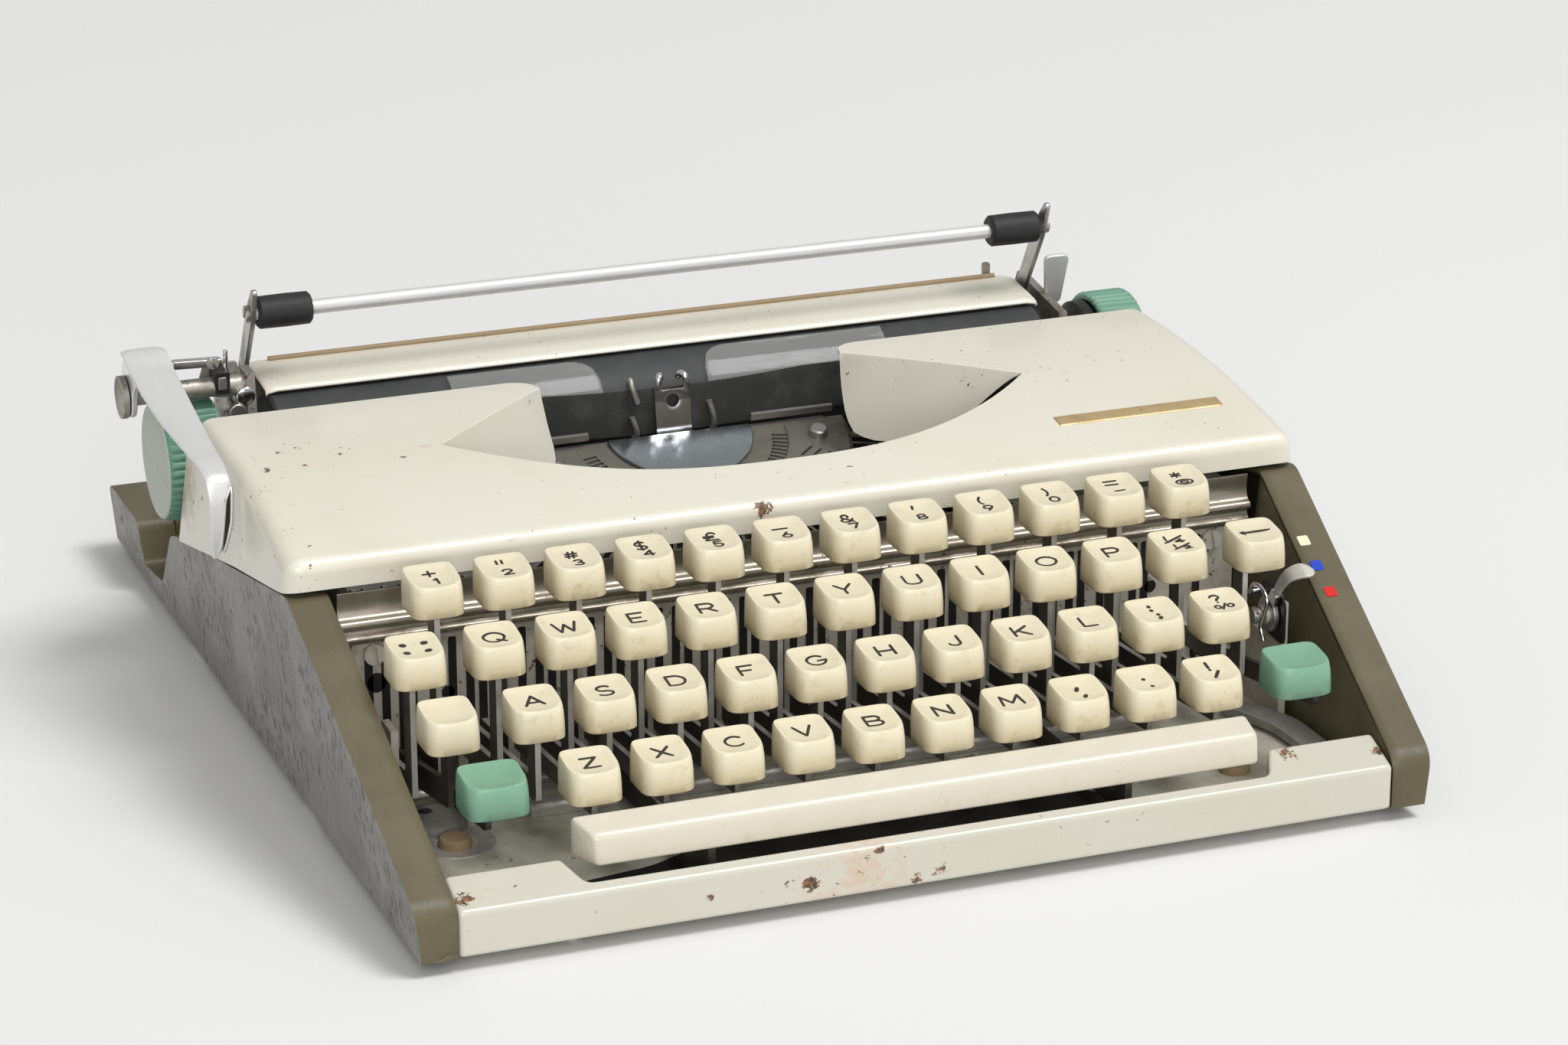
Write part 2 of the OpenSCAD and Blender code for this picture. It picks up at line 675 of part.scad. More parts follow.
// A cup shaped knob on the platen's shaft, its hollow turned to the carriage
module knob(x, dir) {
  difference() {
    rod(x, knob_w, platen_y, platen_h, knob_r);
    rod(dir > 0 ? x - 1 : x + 4, knob_w - 3, platen_y, platen_h, knob_r - 2.6);
    rod(x - 1, knob_w + 2, platen_y, platen_h, shaft_r);
  }
  difference() {
    rod(dir > 0 ? x + 2 : x + 3, knob_w - 5, platen_y, platen_h, shaft_r + 3);
    rod(x - 1, knob_w + 2, platen_y, platen_h, shaft_r);
  }
}

module platen_knobs() {
  color("#7fb39b") from_front() translate([carriage_x, 0, 0]) {
    knob(-left_knob_out, -1);
    knob(right_knob_out - knob_w, 1);
  }
}

// Toothed wheel on the platen's shaft, outside the left end plate
ratchet_teeth = 30;
ratchet_r = 12.5;
module line_space_ratchet() {
  color("#8f8e88") from_front()
    translate([carriage_x - end_out - 4.5, platen_y, platen_h]) rotate([0, 90, 0])
    linear_extrude(3.5) difference() {
      polygon([for (i = [0:2 * ratchet_teeth - 1])
        (ratchet_r - (i % 2) * 1.4) * [cos(i * 180 / ratchet_teeth), sin(i * 180 / ratchet_teeth)]]);
      circle(r = shaft_r);
    }
}

// Paper table: a shelf behind the platen with a rear wall that stands on the beam
module paper_table() {
  half = platen_l / 2 + 1;
  front = [platen_y - 2.5, platen_h + 18];
  rear = [platen_y + 17.5, platen_h + 22.6];
  color("#ddd7c2") from_front() along_x(carriage_x - half, 2 * half) polygon([
    front, front + [0.6, 1.4], rear, rear + [6, -4], [beam_y[0] + 4, beam_h[1]],
    [beam_y[0] + 2.4, beam_h[1]], rear + [4.2, -4.6], rear + [-0.4, -sheet]
  ]);
}

// Bail: two arms on the end plates' pins and the rod between them
bail_rod = [bail_y - bail_arm * cos(bail_rise), bail_h + bail_arm * sin(bail_rise)];
bail_tip = 9;
module paper_bail() {
  color("#c9cacb") from_front() translate([carriage_x, 0, 0]) {
    pair() difference() {
      union() {
        rod(arm_in, arm_t, bail_y, bail_h, 4.2);
        translate([arm_in, bail_y, bail_h]) rotate([90 - bail_rise, 0, 0])
          translate([0, -2.2, 0]) cube([arm_t, 4.4, bail_arm + bail_tip]);
      }
      rod(arm_in - 1, arm_t + 2, bail_y, bail_h, 2 + fit);
    }
    rod(-arm_in - 0.1, 2 * arm_in + 0.2, bail_rod[0], bail_rod[1], bail_rod_r);
  }
}

module bail_rollers() {
  color("#222224") from_front() translate([carriage_x, 0, 0]) pair() difference() {
    rod(arm_in - gap - bail_roller_l, bail_roller_l, bail_rod[0], bail_rod[1], bail_roller_r);
    rod(arm_in - gap - bail_roller_l - 1, bail_roller_l + 2, bail_rod[0], bail_rod[1], bail_rod_r + fit);
  }
}

// Return lever: a strip that runs forward and turns down into a finger tab, with an ear on the pivot bar
module return_lever() {
  color("#c8c9cc") from_front() {
    intersection() {
      along_x(-outermost, return_w) polygon(concat(
        return_line,
        [return_line[3] + [return_sheet, 0], return_line[2] + [return_sheet, -return_sheet],
         return_line[1] + [0, -return_sheet], return_line[0] + [0, -return_sheet]]
      ));
      translate([-outermost, 0, 0]) linear_extrude(2 * return_h) polygon([
        [0, return_y + 10], [0, return_y - 16], [return_taper, return_line[2][0]], [return_taper, 0],
        [return_w, 0], [return_w, return_y + 10]
      ]);
      along_y(0, body_d) polygon([for (p = [
        [0, 2 * return_h], [0, return_line[3][1] - 1], [return_w - tip_taper, return_line[3][1] - 1],
        [return_w, return_line[2][1] - return_sheet], [return_w, 2 * return_h]
      ]) p - [outermost, 0]]);
    }
    difference() {
      union() {
        rod(ear_x, ear_t, return_y, return_h, 6.2);
        along_x(ear_x, ear_t) polygon([
          [return_y - 6, return_h], [return_y - 16, return_h + 7.6], [return_y + 2.4, return_h + 9.2],
          [return_y + 6, return_h]
        ]);
      }
      rod(ear_x - 1, ear_t + 2, return_y, return_h, lever_bar_r + fit);
    }
  }
}

// Paper release: hub on the right end plate's pin, arm, and a paddle turned to the front
module paper_release_lever() {
  x = carriage_x + end_out + gap;
  color("#c9cacb") from_front() {
    difference() {
      union() {
        rod(x, 1.6, release_y, release_h, 4.5);
        translate([x, release_y, release_h]) rotate([26, 0, 0]) translate([0, -2.5, 0]) cube([1.6, 5, 20]);
      }
      rod(x - 1, 4, release_y, release_h, 2 + fit);
    }
    translate([x, release_y, release_h]) rotate([26, 0, 0]) translate([0, -2.5, 18]) cube([7.5, 1.4, 16]);
  }
}

// Tapered key cap with its base centred at a point and a socket for a stem
module cap(x, y, h, w, stem_x) {
  difference() {
    translate([x, y, h]) linear_extrude(cap_h, scale = 0.88) square([w, cap_w], center = true);
    translate([stem_x - lever_t / 2 - fit, y - stem_d / 2 - fit, h - 1])
      cube([lever_t + 2 * fit, stem_d + 2 * fit, socket + 1 + fit]);
  }
}

// Key lever: a bar from the fulcrum to its knee and up to the front, and a stem up to the cap
module key_lever(x, y, top) {
  front = y - stem_d / 2;
  rear = y + stem_d / 2;
  half = lever_h / 2;
  along_x(x - lever_t / 2, lever_t) difference() {
    polygon([
      [fulcrum_y + 5, fulcrum_h - half], [fulcrum_y + 5, fulcrum_h + half], [knee_y, knee_h + half],
      [rear, min(lever_mid(rear) + half, top - gap)], [rear, top + socket], [front, top + socket],
      [front, lever_mid(y) - half], [knee_y, knee_h - half]
    ]);
    translate([fulcrum_y, fulcrum_h]) circle(r = fulcrum_r + fit);
  }
}

module type_key(row, i) {
  x = row_x(row, i);
  cap(x, row_y[row], cap_bottom(row), cap_w, x);
  key_lever(x, row_y[row], cap_bottom(row));
}

module letter_key(c) {
  place = letter_at(c);
  color("#ddd7c2") from_front() type_key(place[0], place[1]);
}

module figure_keys() {
  color("#ddd7c2") from_front() for (p = figure_places) type_key(p[0], p[1]);
}

// Lever of the shift keys and the shift lock: a bar on the rear shaft that climbs over the front shaft
module shift_lever(x, y, top) {
  low = shaft_h - lever_h / 2;
  rear = shaft_y[1];
  along_x(x - lever_t / 2, lever_t) polygon([
    [rear + 4, low], [rear + 4, low + lever_h], [rear - 6, low + lever_h],
    [y + stem_d / 2, min(lever_low_h + lever_h, top - gap)], [y + stem_d / 2, top + socket],
    [y - stem_d / 2, top + socket], [y - stem_d / 2, lever_low_h], [rear - 4, low]
  ]);
}

module shift_keys() {
  color("#7fb39b") from_front() {
    cap(-shift_cap_x, row_y[3], cap_bottom(3), shift_cap_w, left_shift_x);
    cap(shift_cap_x, row_y[3], cap_bottom(3), shift_cap_w, right_shift_x);
    shift_lever(left_shift_x, row_y[3], cap_bottom(3));
    shift_lever(right_shift_x, row_y[3], cap_bottom(3));
    rod(-frame_out, 2 * frame_out, shaft_y[1], shaft_h, pivot_r);
  }
}

module shift_lock_key() {
  color("#ddd7c2") from_front() {
    cap(lock_cap_x, row_y[2], cap_bottom(2), cap_w, lock_lever_x);
    difference() {
      shift_lever(lock_lever_x, row_y[2], cap_bottom(2));
      rod(-half_w, body_w, shaft_y[1], shaft_h, pivot_r + fit);
    }
  }
}

module margin_release_key() {
  color("#ddd7c2") from_front() {
    cap(margin_cap_x, row_y[1], cap_bottom(1), cap_w, margin_lever_x);
    key_lever(margin_lever_x, row_y[1], cap_bottom(1));
  }
}

module backspace_key() {
  color("#ddd7c2") from_front() {
    cap(back_cap_x, row_y[1], cap_bottom(1), cap_w, back_lever_x);
    key_lever(back_lever_x, row_y[1], cap_bottom(1));
  }
}

// Space bar: the bar, two arms that run back under the keys, and their shaft
module space_bar() {
  color("#ddd7c2") from_front() {
    along_x(-space_bar_l / 2 + 1, space_bar_l) polygon([
      [space_y, space_top - space_h], [space_y + 1.2, space_top - 1.6], [space_y + 3, space_top],
      [space_y + space_d, space_top + space_rise], [space_y + space_d, space_top - space_h]
    ]);
    for (x = space_arm_x) along_x(x - 1, 2) polygon([
      [space_y + 2, shaft_h + 1.5], [space_y + 2, space_top - space_h + 0.5],
      [space_y + 8, space_top - space_h + 0.5], [space_y + 8, shaft_h + 5],
      [shaft_y[0] + 3.5, shaft_h + 3], [shaft_y[0] + 3.5, shaft_h - 2.5], [shaft_y[0] - 6, shaft_h - 2.5]
    ]);
    rod(-frame_out, 2 * frame_out, shaft_y[0], shaft_h, pivot_r);
  }
}

left_side_panel();
right_side_panel();
front_panel();
base_plate();
rear_deck();
rubber_feet();
ribbon_cover();
main_frame();
key_fulcrum_rod();
carriage_rails();
mainspring_drum();
type_segment();
typebars();
type_guide();
ribbon_vibrator();
left_ribbon_spool();
right_ribbon_spool();
ribbon();
ribbon_selector();
carriage_frame();
platen();
platen_knobs();
line_space_ratchet();
paper_table();
paper_bail();
bail_rollers();
return_lever();
paper_release_lever();
for (row = letter_rows) for (c = row) letter_key(c);
figure_keys();
shift_keys();
shift_lock_key();
margin_release_key();
backspace_key();
space_bar();
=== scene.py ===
import bmesh
import bpy
import numpy as np
from mathutils import Matrix


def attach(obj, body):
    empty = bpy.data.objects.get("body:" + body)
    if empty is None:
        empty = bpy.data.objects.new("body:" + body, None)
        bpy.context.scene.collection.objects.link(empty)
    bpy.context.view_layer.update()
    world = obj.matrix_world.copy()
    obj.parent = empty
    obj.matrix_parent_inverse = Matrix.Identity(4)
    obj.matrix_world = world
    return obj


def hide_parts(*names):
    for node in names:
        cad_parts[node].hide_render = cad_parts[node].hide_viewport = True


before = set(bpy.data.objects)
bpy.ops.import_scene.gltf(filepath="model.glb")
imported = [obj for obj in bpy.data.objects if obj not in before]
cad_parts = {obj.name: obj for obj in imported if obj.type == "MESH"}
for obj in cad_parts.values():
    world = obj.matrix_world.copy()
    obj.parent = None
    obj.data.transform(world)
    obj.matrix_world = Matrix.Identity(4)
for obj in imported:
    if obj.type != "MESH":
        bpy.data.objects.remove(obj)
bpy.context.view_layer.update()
print("stage: frame loaded")

mm = 0.001
frontFace = 159.0  # y below is the distance from the front face, so the frame's y is y - frontFace


# shader kit


class Wire:
    # a socket with arithmetic: each operator adds one Math node whose output is the result
    def __init__(self, look, socket):
        self.look, self.socket = look, socket

    def maths(self, kind, a, b):
        # one Math node on two numbers or wires
        return self.look.node("ShaderNodeMath", {"operation": kind}, {0: a, 1: b})

    def __add__(self, other):
        return self.maths("ADD", self, other)

    def __radd__(self, other):
        return self.maths("ADD", other, self)

    def __sub__(self, other):
        return self.maths("SUBTRACT", self, other)

    def __rsub__(self, other):
        return self.maths("SUBTRACT", other, self)

    def __mul__(self, other):
        return self.maths("MULTIPLY", self, other)

    def __rmul__(self, other):
        return self.maths("MULTIPLY", other, self)


class Look:
    # one material around a Principled shader; constants go straight onto the shader's sockets
    def __init__(self, name, **constants):
        self.material = bpy.data.materials.new(name)
        self.material.use_nodes = True
        self.tree = self.material.node_tree
        self.shader = next(n for n in self.tree.nodes if n.type == "BSDF_PRINCIPLED")
        for key, value in constants.items():
            self.put(self.shader.inputs[key.replace("_", " ")], value)
        self.place = self.node("ShaderNodeTexCoord", {}, {}, "Object")

    def put(self, socket, value):
        # links a wire to a socket, or sets a value there; three numbers make a colour
        if isinstance(value, Wire):
            self.tree.links.new(value.socket, socket)
        elif isinstance(value, (tuple, list)) and len(value) == 3 and socket.type == "RGBA":
            socket.default_value = (*value, 1.0)
        else:
            socket.default_value = value

    def node(self, kind, settings, sockets, out=0):
        # any node: its settings first, then the values or links of its sockets
        made = self.tree.nodes.new(kind)
        for key, value in settings.items():
            setattr(made, key, value)
        for key, value in sockets.items():
            self.put(made.inputs[key], value)
        return Wire(self, made.outputs[out])

    def noise(self, scale, detail=4.0, rough=0.55, stretch=(1, 1, 1), move=(0, 0, 0)):
        # noise value at the object's own coordinates, which may be stretched along an axis
        vec = self.node("ShaderNodeMapping", {}, {"Vector": self.place, "Scale": stretch, "Location": move})
        sockets = {"Vector": vec, "Scale": scale, "Detail": detail, "Roughness": rough}
        return self.node("ShaderNodeTexNoise", {}, sockets)

    def step(self, value, low, high):
        # smooth step: 0 below low, 1 above high
        return self.node("ShaderNodeMapRange", {"interpolation_type": "SMOOTHSTEP"},
                         {"Value": value, "From Min": low, "From Max": high})

    def mix(self, amount, a, b):
        # colour a where the amount is 0, colour b where it is 1
        return self.node("ShaderNodeMix", {"data_type": "RGBA"}, {0: amount, 6: a, 7: b}, 2)

    def own(self, name):
        # value of the piece's own attribute
        return self.node("ShaderNodeAttribute", {"attribute_name": name}, {}, "Fac")

    def facing(self, axis):
        # axis part of the surface direction in the object's own frame
        split = self.node("ShaderNodeTexCoord", {}, {}, "Normal")
        return self.node("ShaderNodeSeparateXYZ", {}, {0: split}, axis)

    def finish(self, color, rough, bump=None, strength=0.2, depth=0.0004, **more):
        # joins colour, roughness and a bump, where there is one, to the shader
        self.put(self.shader.inputs["Base Color"], color)
        self.put(self.shader.inputs["Roughness"], rough)
        if bump is not None:
            normal = self.node("ShaderNodeBump", {}, {"Strength": strength, "Distance": depth, "Height": bump})
            self.put(self.shader.inputs["Normal"], normal)
        for key, value in more.items():
            self.put(self.shader.inputs[key.replace("_", " ")], value)
        return self.material


def speckle(look, scale, low, high, patch, patchLow, patchHigh, move=(0, 0, 0)):
    # fine spots where a noise passes a limit, kept to the places where a broad noise is high
    fine = look.step(look.noise(scale, 3.0, 0.6, move=move), low, high)
    return fine * look.step(look.noise(patch, 3.0, 0.6, move=move), patchLow, patchHigh)


creamPaint = {"clean": (0.735, 0.705, 0.600), "aged": (0.660, 0.605, 0.460), "speck": (0.060, 0.035, 0.018),
              "rust": (0.26, 0.125, 0.055), "smudge": (0.50, 0.40, 0.27), "scuff": (0.60, 0.45, 0.33),
              "gloss": 0.25}


def creamEnamel(name, wornPlace=None, wornSize=0.02, marks=(), shade=1.0):
    # cream, yellowed in patches, with specks, rust chips and sideways smudges; a named place is scuffed; the last
    # number darkens the whole colour as painted shade
    look = Look(name, Specular_IOR_Level=0.5, Coat_Weight=0.2, Coat_Roughness=0.2)
    clean, aged = (tuple(shade * c for c in creamPaint[k]) for k in ("clean", "aged"))
    base = look.mix(look.step(look.noise(14.0, 5.0), 0.42, 0.74) * 0.6, clean, aged)
    specks = speckle(look, 620.0, 0.680, 0.715, 30.0, 0.44, 0.62)
    chips = speckle(look, 300.0, 0.690, 0.715, 21.0, 0.48, 0.62, (3, 1, 2))
    smears = look.step(look.noise(300.0, 5.0, 0.7, (0.35, 1, 1)), 0.60, 0.74)
    smudge = smears * look.step(look.noise(22.0, 3.0), 0.45, 0.66) * 0.5
    base = look.mix(smudge, base, creamPaint["smudge"])
    worn = specks + chips
    if wornPlace is not None:
        away = look.node("ShaderNodeVectorMath", {"operation": "DISTANCE"}, {0: look.place, 1: wornPlace}, 1)
        near = 1.0 - look.step(away, wornSize * 0.45, wornSize)
        base = look.mix(look.step(look.noise(230.0, 6.0, 0.7), 0.40, 0.60) * near * 0.8, base,
                        creamPaint["scuff"])
        edge = 1.0 - look.step(away, wornSize * 0.8, wornSize * 1.7)
        worn = worn + look.step(look.noise(210.0, 7.0, 0.75), 0.625, 0.65) * edge
    for spot, size in marks:
        away = look.node("ShaderNodeVectorMath", {"operation": "DISTANCE"}, {0: look.place, 1: spot}, 1)
        worn = worn + look.step(look.noise(480.0, 6.0, 0.75) - look.step(away, 0.0, size) * 0.32, 0.38, 0.44)
    worn = look.step(worn, 0.0, 1.0)
    tone = look.mix(look.step(look.noise(700.0, 2.0), 0.4, 0.6), creamPaint["speck"], creamPaint["rust"])
    rough = creamPaint["gloss"] + look.noise(90.0) * 0.10 + worn * 0.4
    return look.finish(look.mix(worn, base, tone), rough, look.noise(420.0, 2.0) * 0.25 - worn, 0.2, 0.0002)


olivePaint = {"clean": (0.101, 0.085, 0.042), "faded": (0.138, 0.120, 0.067), "worn": (0.245, 0.232, 0.216),
              "rubbed": (0.330, 0.315, 0.298), "dark": (0.028, 0.024, 0.019)}


def oliveEnamel(name, wornSide=0.0):
    # olive grey; the side that wornSide names by its sign is rubbed to a pale grey with dark spots
    look = Look(name, Specular_IOR_Level=0.42)
    base = look.mix(look.step(look.noise(26.0, 6.0, 0.65), 0.38, 0.68), olivePaint["clean"],
                    olivePaint["faded"])
    grain = look.noise(900.0, 2.0)
    base = look.mix(grain * 0.35, base, (0.10, 0.088, 0.058))
    nicks = speckle(look, 650.0, 0.67, 0.71, 30.0, 0.50, 0.70)
    if wornSide:
        out = look.step(look.facing(0) * wornSide, 0.55, 0.9)
        rubbed = look.mix(look.step(look.noise(40.0, 5.0, 0.6), 0.40, 0.66), olivePaint["worn"],
                          olivePaint["rubbed"])
        spots = look.step(look.noise(430.0, 2.0, 0.5, (1, 1.5, 0.55)), 0.555, 0.595)
        spots = spots * look.step(look.noise(34.0, 4.0), 0.36, 0.56)
        base = look.mix(out * 0.9, base, look.mix(spots * 0.7, rubbed, olivePaint["dark"]))
    color = look.mix(nicks, base, olivePaint["dark"])
    return look.finish(color, 0.36 + grain * 0.22 + nicks * 0.2, grain, 0.12, 0.0002)


def plastic(name, clean, dirty, gloss, rim):
    # moulded plastic: darker low on the piece, by its own attribute, and grimy in soft patches
    look = Look(name, Specular_IOR_Level=0.5, Subsurface_Weight=0.0)
    darkening = look.own("darkShare") * 0.75 + look.step(look.noise(180.0, 6.0, 0.7), 0.52, 0.74) * 0.35
    darkening = look.step(darkening, 0.05, 1.15)
    specks = speckle(look, 900.0, 0.68, 0.73, 120.0, 0.48, 0.66)
    color = look.mix(specks * 0.8, look.mix(darkening, clean, dirty), rim)
    return look.finish(color, gloss + look.noise(300.0) * 0.14 + darkening * 0.2, look.noise(500.0, 2.0), 0.08,
                       0.0002)


def metal(name, bright, dull, rough, tarnish=0.4, rust=0.0, grain=(1, 1, 1), metallic=1.0):
    # bare metal: a dull bloom in patches, fine grain along one axis, optional brown rust spots
    look = Look(name, Metallic=metallic)
    bloom = look.step(look.noise(85.0, 7.0, 0.7), 0.44, 0.72) * tarnish
    color = look.mix(bloom, bright, dull)
    lines = look.noise(600.0, 3.0, 0.6, grain)
    finish = rough + bloom * 0.25 + lines * 0.10
    if rust:
        spots = speckle(look, 420.0, 0.60, 0.70, 60.0, 0.62 - rust * 0.3, 0.74 - rust * 0.2)
        color = look.mix(spots, color, (0.115, 0.055, 0.026))
        finish = finish + spots * 0.4
    return look.finish(color, finish, lines, 0.06, 0.0002)


def rubber(name, tone, dust):
    # dull black with a bloom of dust in soft patches
    look = Look(name, Specular_IOR_Level=0.35)
    bloom = look.step(look.noise(70.0, 6.0, 0.7), 0.45, 0.75)
    return look.finish(look.mix(bloom * 0.5, tone, dust), 0.55 + bloom * 0.2, look.noise(900.0, 2.0), 0.1,
                       0.0002)


def cloth(name):
    # woven ribbon: two crossed sets of fine waves, inked black with greyer worn threads
    look = Look(name, Specular_IOR_Level=0.2)
    across = look.node("ShaderNodeTexWave", {"bands_direction": "X"}, {"Vector": look.place, "Scale": 900.0})
    up = look.node("ShaderNodeTexWave", {"bands_direction": "Z"}, {"Vector": look.place, "Scale": 900.0})
    weave = across * up
    worn = look.step(look.noise(110.0, 5.0), 0.45, 0.7) * 0.5
    color = look.mix(worn, (0.040, 0.041, 0.039), (0.080, 0.081, 0.078))
    return look.finish(color, 0.78 + weave * 0.12, weave, 0.3, 0.0002)


def clearSheet(name):
    # thin clear plastic, a little scratched: mostly see-through with a glossy face
    look = Look(name, Specular_IOR_Level=0.6, Roughness=0.12)
    scratch = look.step(look.noise(260.0, 4.0, 0.6, (0.15, 1, 1)), 0.60, 0.72)
    return look.finish((0.62, 0.62, 0.61), 0.08 + scratch * 0.4, None, Alpha=0.16 + scratch * 0.14)


coverMarks = [((-0.0135, -0.0672, 0.0745), 0.006), ((-0.1336, -0.014, 0.0825), 0.004),
              ((-0.1111, -0.0048, 0.083), 0.0022), ((-0.1124, -0.0093, 0.083), 0.0022),
              ((-0.1234, -0.0138, 0.0828), 0.002), ((-0.1276, -0.0032, 0.083), 0.002),
              ((-0.097, -0.0165, 0.0825), 0.002), ((0.1379, -0.0297, 0.083), 0.003),
              ((0.1367, -0.0546, 0.0815), 0.0024), ((0.1382, -0.0434, 0.0825), 0.002),
              ((0.1212, -0.0633, 0.082), 0.002)]
stripMarks = [((-0.0355, -0.159, 0.0089), 0.005), ((-0.0064, -0.159, 0.006), 0.0038),
              ((-0.0008, -0.159, 0.0075), 0.0045), ((-0.0624, -0.159, 0.010), 0.0028),
              ((-0.0171, -0.159, 0.0155), 0.003), ((-0.1246, -0.1545, 0.0175), 0.005),
              ((0.1015, -0.149, 0.0195), 0.0055), ((0.1255, -0.153, 0.0185), 0.004)]
looks = {
    "cream": creamEnamel("creamEnamel", (-0.1425, 0.041, 0.060), 0.015, coverMarks),
    # the front strip is the cover's cream darkened to 0.80 as painted shade, damping the light on its upward faces
    "creamFront": creamEnamel("creamFrontEnamel", (-0.023, -0.159, 0.010), 0.018, stripMarks, 0.80),
    "olive": oliveEnamel("oliveEnamel"),
    "oliveLeft": oliveEnamel("oliveLeftEnamel", -1.0),
    "ivory": plastic("ivoryPlastic", (0.745, 0.680, 0.500), (0.44, 0.35, 0.19), 0.24, (0.10, 0.065, 0.03)),
    "ivoryBar": plastic("ivoryBarPlastic", (0.645, 0.607, 0.500), (0.51, 0.44, 0.31), 0.22, (0.20, 0.13, 0.07)),
    "mint": plastic("mintPlastic", (0.198, 0.385, 0.265), (0.10, 0.20, 0.135), 0.27, (0.03, 0.05, 0.04)),
    "mintDark": plastic("mintRim", (0.105, 0.235, 0.165), (0.05, 0.11, 0.08), 0.32, (0.03, 0.05, 0.04)),
    # a darker copy of the mint for the right knob's rim: painted shade
    "mintShade": plastic("mintPaintedShade", (0.150, 0.315, 0.225), (0.08, 0.16, 0.11), 0.40, (0.03, 0.05, 0.04)),
    "pale": plastic("paleKnobFace", (0.42, 0.46, 0.395), (0.28, 0.30, 0.24), 0.38, (0.10, 0.09, 0.07)),
    "chrome": metal("brightChrome", (0.80, 0.80, 0.80), (0.45, 0.43, 0.40), 0.12, 0.35),
    "steel": metal("satinSteel", (0.52, 0.51, 0.48), (0.27, 0.25, 0.21), 0.34, 0.8, 0.35),
    "rusty": metal("rustySteel", (0.40, 0.38, 0.34), (0.17, 0.13, 0.09), 0.42, 0.9, 1.0, metallic=0.8),
    "dark": metal("darkSteel", (0.060, 0.052, 0.044), (0.135, 0.118, 0.095), 0.42, 0.7, 0.2, metallic=0.6),
    "lever": metal("leverSteel", (0.115, 0.110, 0.098), (0.200, 0.185, 0.155), 0.36, 0.8, 0.3, metallic=0.55),
    "segment": metal("segmentSteel", (0.190, 0.180, 0.150), (0.115, 0.105, 0.085), 0.36, 0.8, 0.2,
                     metallic=0.45),
    "comb": metal("combSteel", (0.640, 0.600, 0.520), (0.440, 0.390, 0.310), 0.38, 0.9, 0.9, metallic=0.2),
    "ledge": metal("ledgeSteel", (0.430, 0.390, 0.320), (0.270, 0.230, 0.170), 0.27, 0.9, 0.5, metallic=0.85),
    "edge": metal("leverEdge", (0.560, 0.545, 0.500), (0.330, 0.310, 0.260), 0.32, 0.9, 0.2, metallic=0.4),
    "cast": metal("castGrey", (0.300, 0.290, 0.265), (0.200, 0.190, 0.165), 0.45, 0.9, 0.3, metallic=0.2),
    "black": metal("blackSteel", (0.020, 0.020, 0.020), (0.040, 0.036, 0.032), 0.35, 0.8, 0.1, metallic=0.3),
    "floorPlate": metal("floorSteel", (0.600, 0.575, 0.490), (0.430, 0.400, 0.320), 0.42, 0.9, 0.5,
                        metallic=0.1),
    "satin": metal("satinChrome", (0.86, 0.86, 0.85), (0.60, 0.58, 0.54), 0.26, 0.5, 0.1),
    "polish": metal("polishedPlate", (0.42, 0.46, 0.49), (0.30, 0.33, 0.34), 0.13, 0.5),
    "white": metal("whiteSatin", (0.73, 0.73, 0.72), (0.58, 0.58, 0.56), 0.28, 0.5, metallic=0.35),
    "tan": rubber("tanFelt", (0.42, 0.30, 0.17), (0.55, 0.44, 0.30)),
    "typebar": metal("typebarSteel", (0.20, 0.19, 0.17), (0.085, 0.075, 0.06), 0.36, 0.9, 0.3),
    "rubber": rubber("blackRubber", (0.020, 0.020, 0.021), (0.075, 0.073, 0.068)),
    "platen": rubber("platenRubber", (0.046, 0.047, 0.049), (0.085, 0.085, 0.084)),
    "ribbon": cloth("inkRibbon"),
    "ink": rubber("legendInk", (0.030, 0.026, 0.022), (0.060, 0.052, 0.042)),
    "brass": metal("brassDrum", (0.55, 0.42, 0.20), (0.25, 0.18, 0.09), 0.33, 0.7),
    "gilt": metal("giltStrip", (0.64, 0.47, 0.24), (0.40, 0.28, 0.14), 0.34, 0.8, 0.3, metallic=0.55),
    "clear": clearSheet("clearCardSheet"),
    "brown": rubber("brownRim", (0.30, 0.215, 0.125), (0.42, 0.33, 0.22)),
    "dotWhite": rubber("dotWhite", (0.80, 0.74, 0.53), (0.66, 0.60, 0.42)),
    "dotBlue": rubber("dotBlue", (0.010, 0.045, 0.50), (0.03, 0.07, 0.46)),
    "dotRed": rubber("dotRed", (0.62, 0.010, 0.008), (0.55, 0.03, 0.02)),
}
print("stage: materials made", len(looks))


# shape kit: every function returns (points, faces) with y measured from the front face, in mm


def grid(points, wrapU=False, wrapV=False):
    # quads between neighbours of a lattice; a wrapped direction joins its last line to its first
    p = np.asarray(points, float)
    nu, nv = p.shape[:2]
    ids = np.arange(nu * nv).reshape(nu, nv)
    iu = np.arange(nu if wrapU else nu - 1)[:, None]
    iv = np.arange(nv if wrapV else nv - 1)[None, :]
    ju, jv = (iu + 1) % nu, (iv + 1) % nv
    faces = np.stack([ids[iu, iv], ids[ju, iv], ids[ju, jv], ids[iu, jv]], -1).reshape(-1, 4)
    return p.reshape(-1, 3), faces.tolist()


def join(*parts):
    # several parts as one: each part's face numbers move up by the points before it
    starts = np.cumsum([0] + [len(p[0]) for p in parts[:-1]])
    return np.vstack([p[0] for p in parts]), [[i + s for i in f] for p, s in zip(parts, starts) for f in p[1]]


def mirrored(part):
    # the same shape with x turned to -x
    return part[0] * np.array([-1, 1, 1]), part[1]


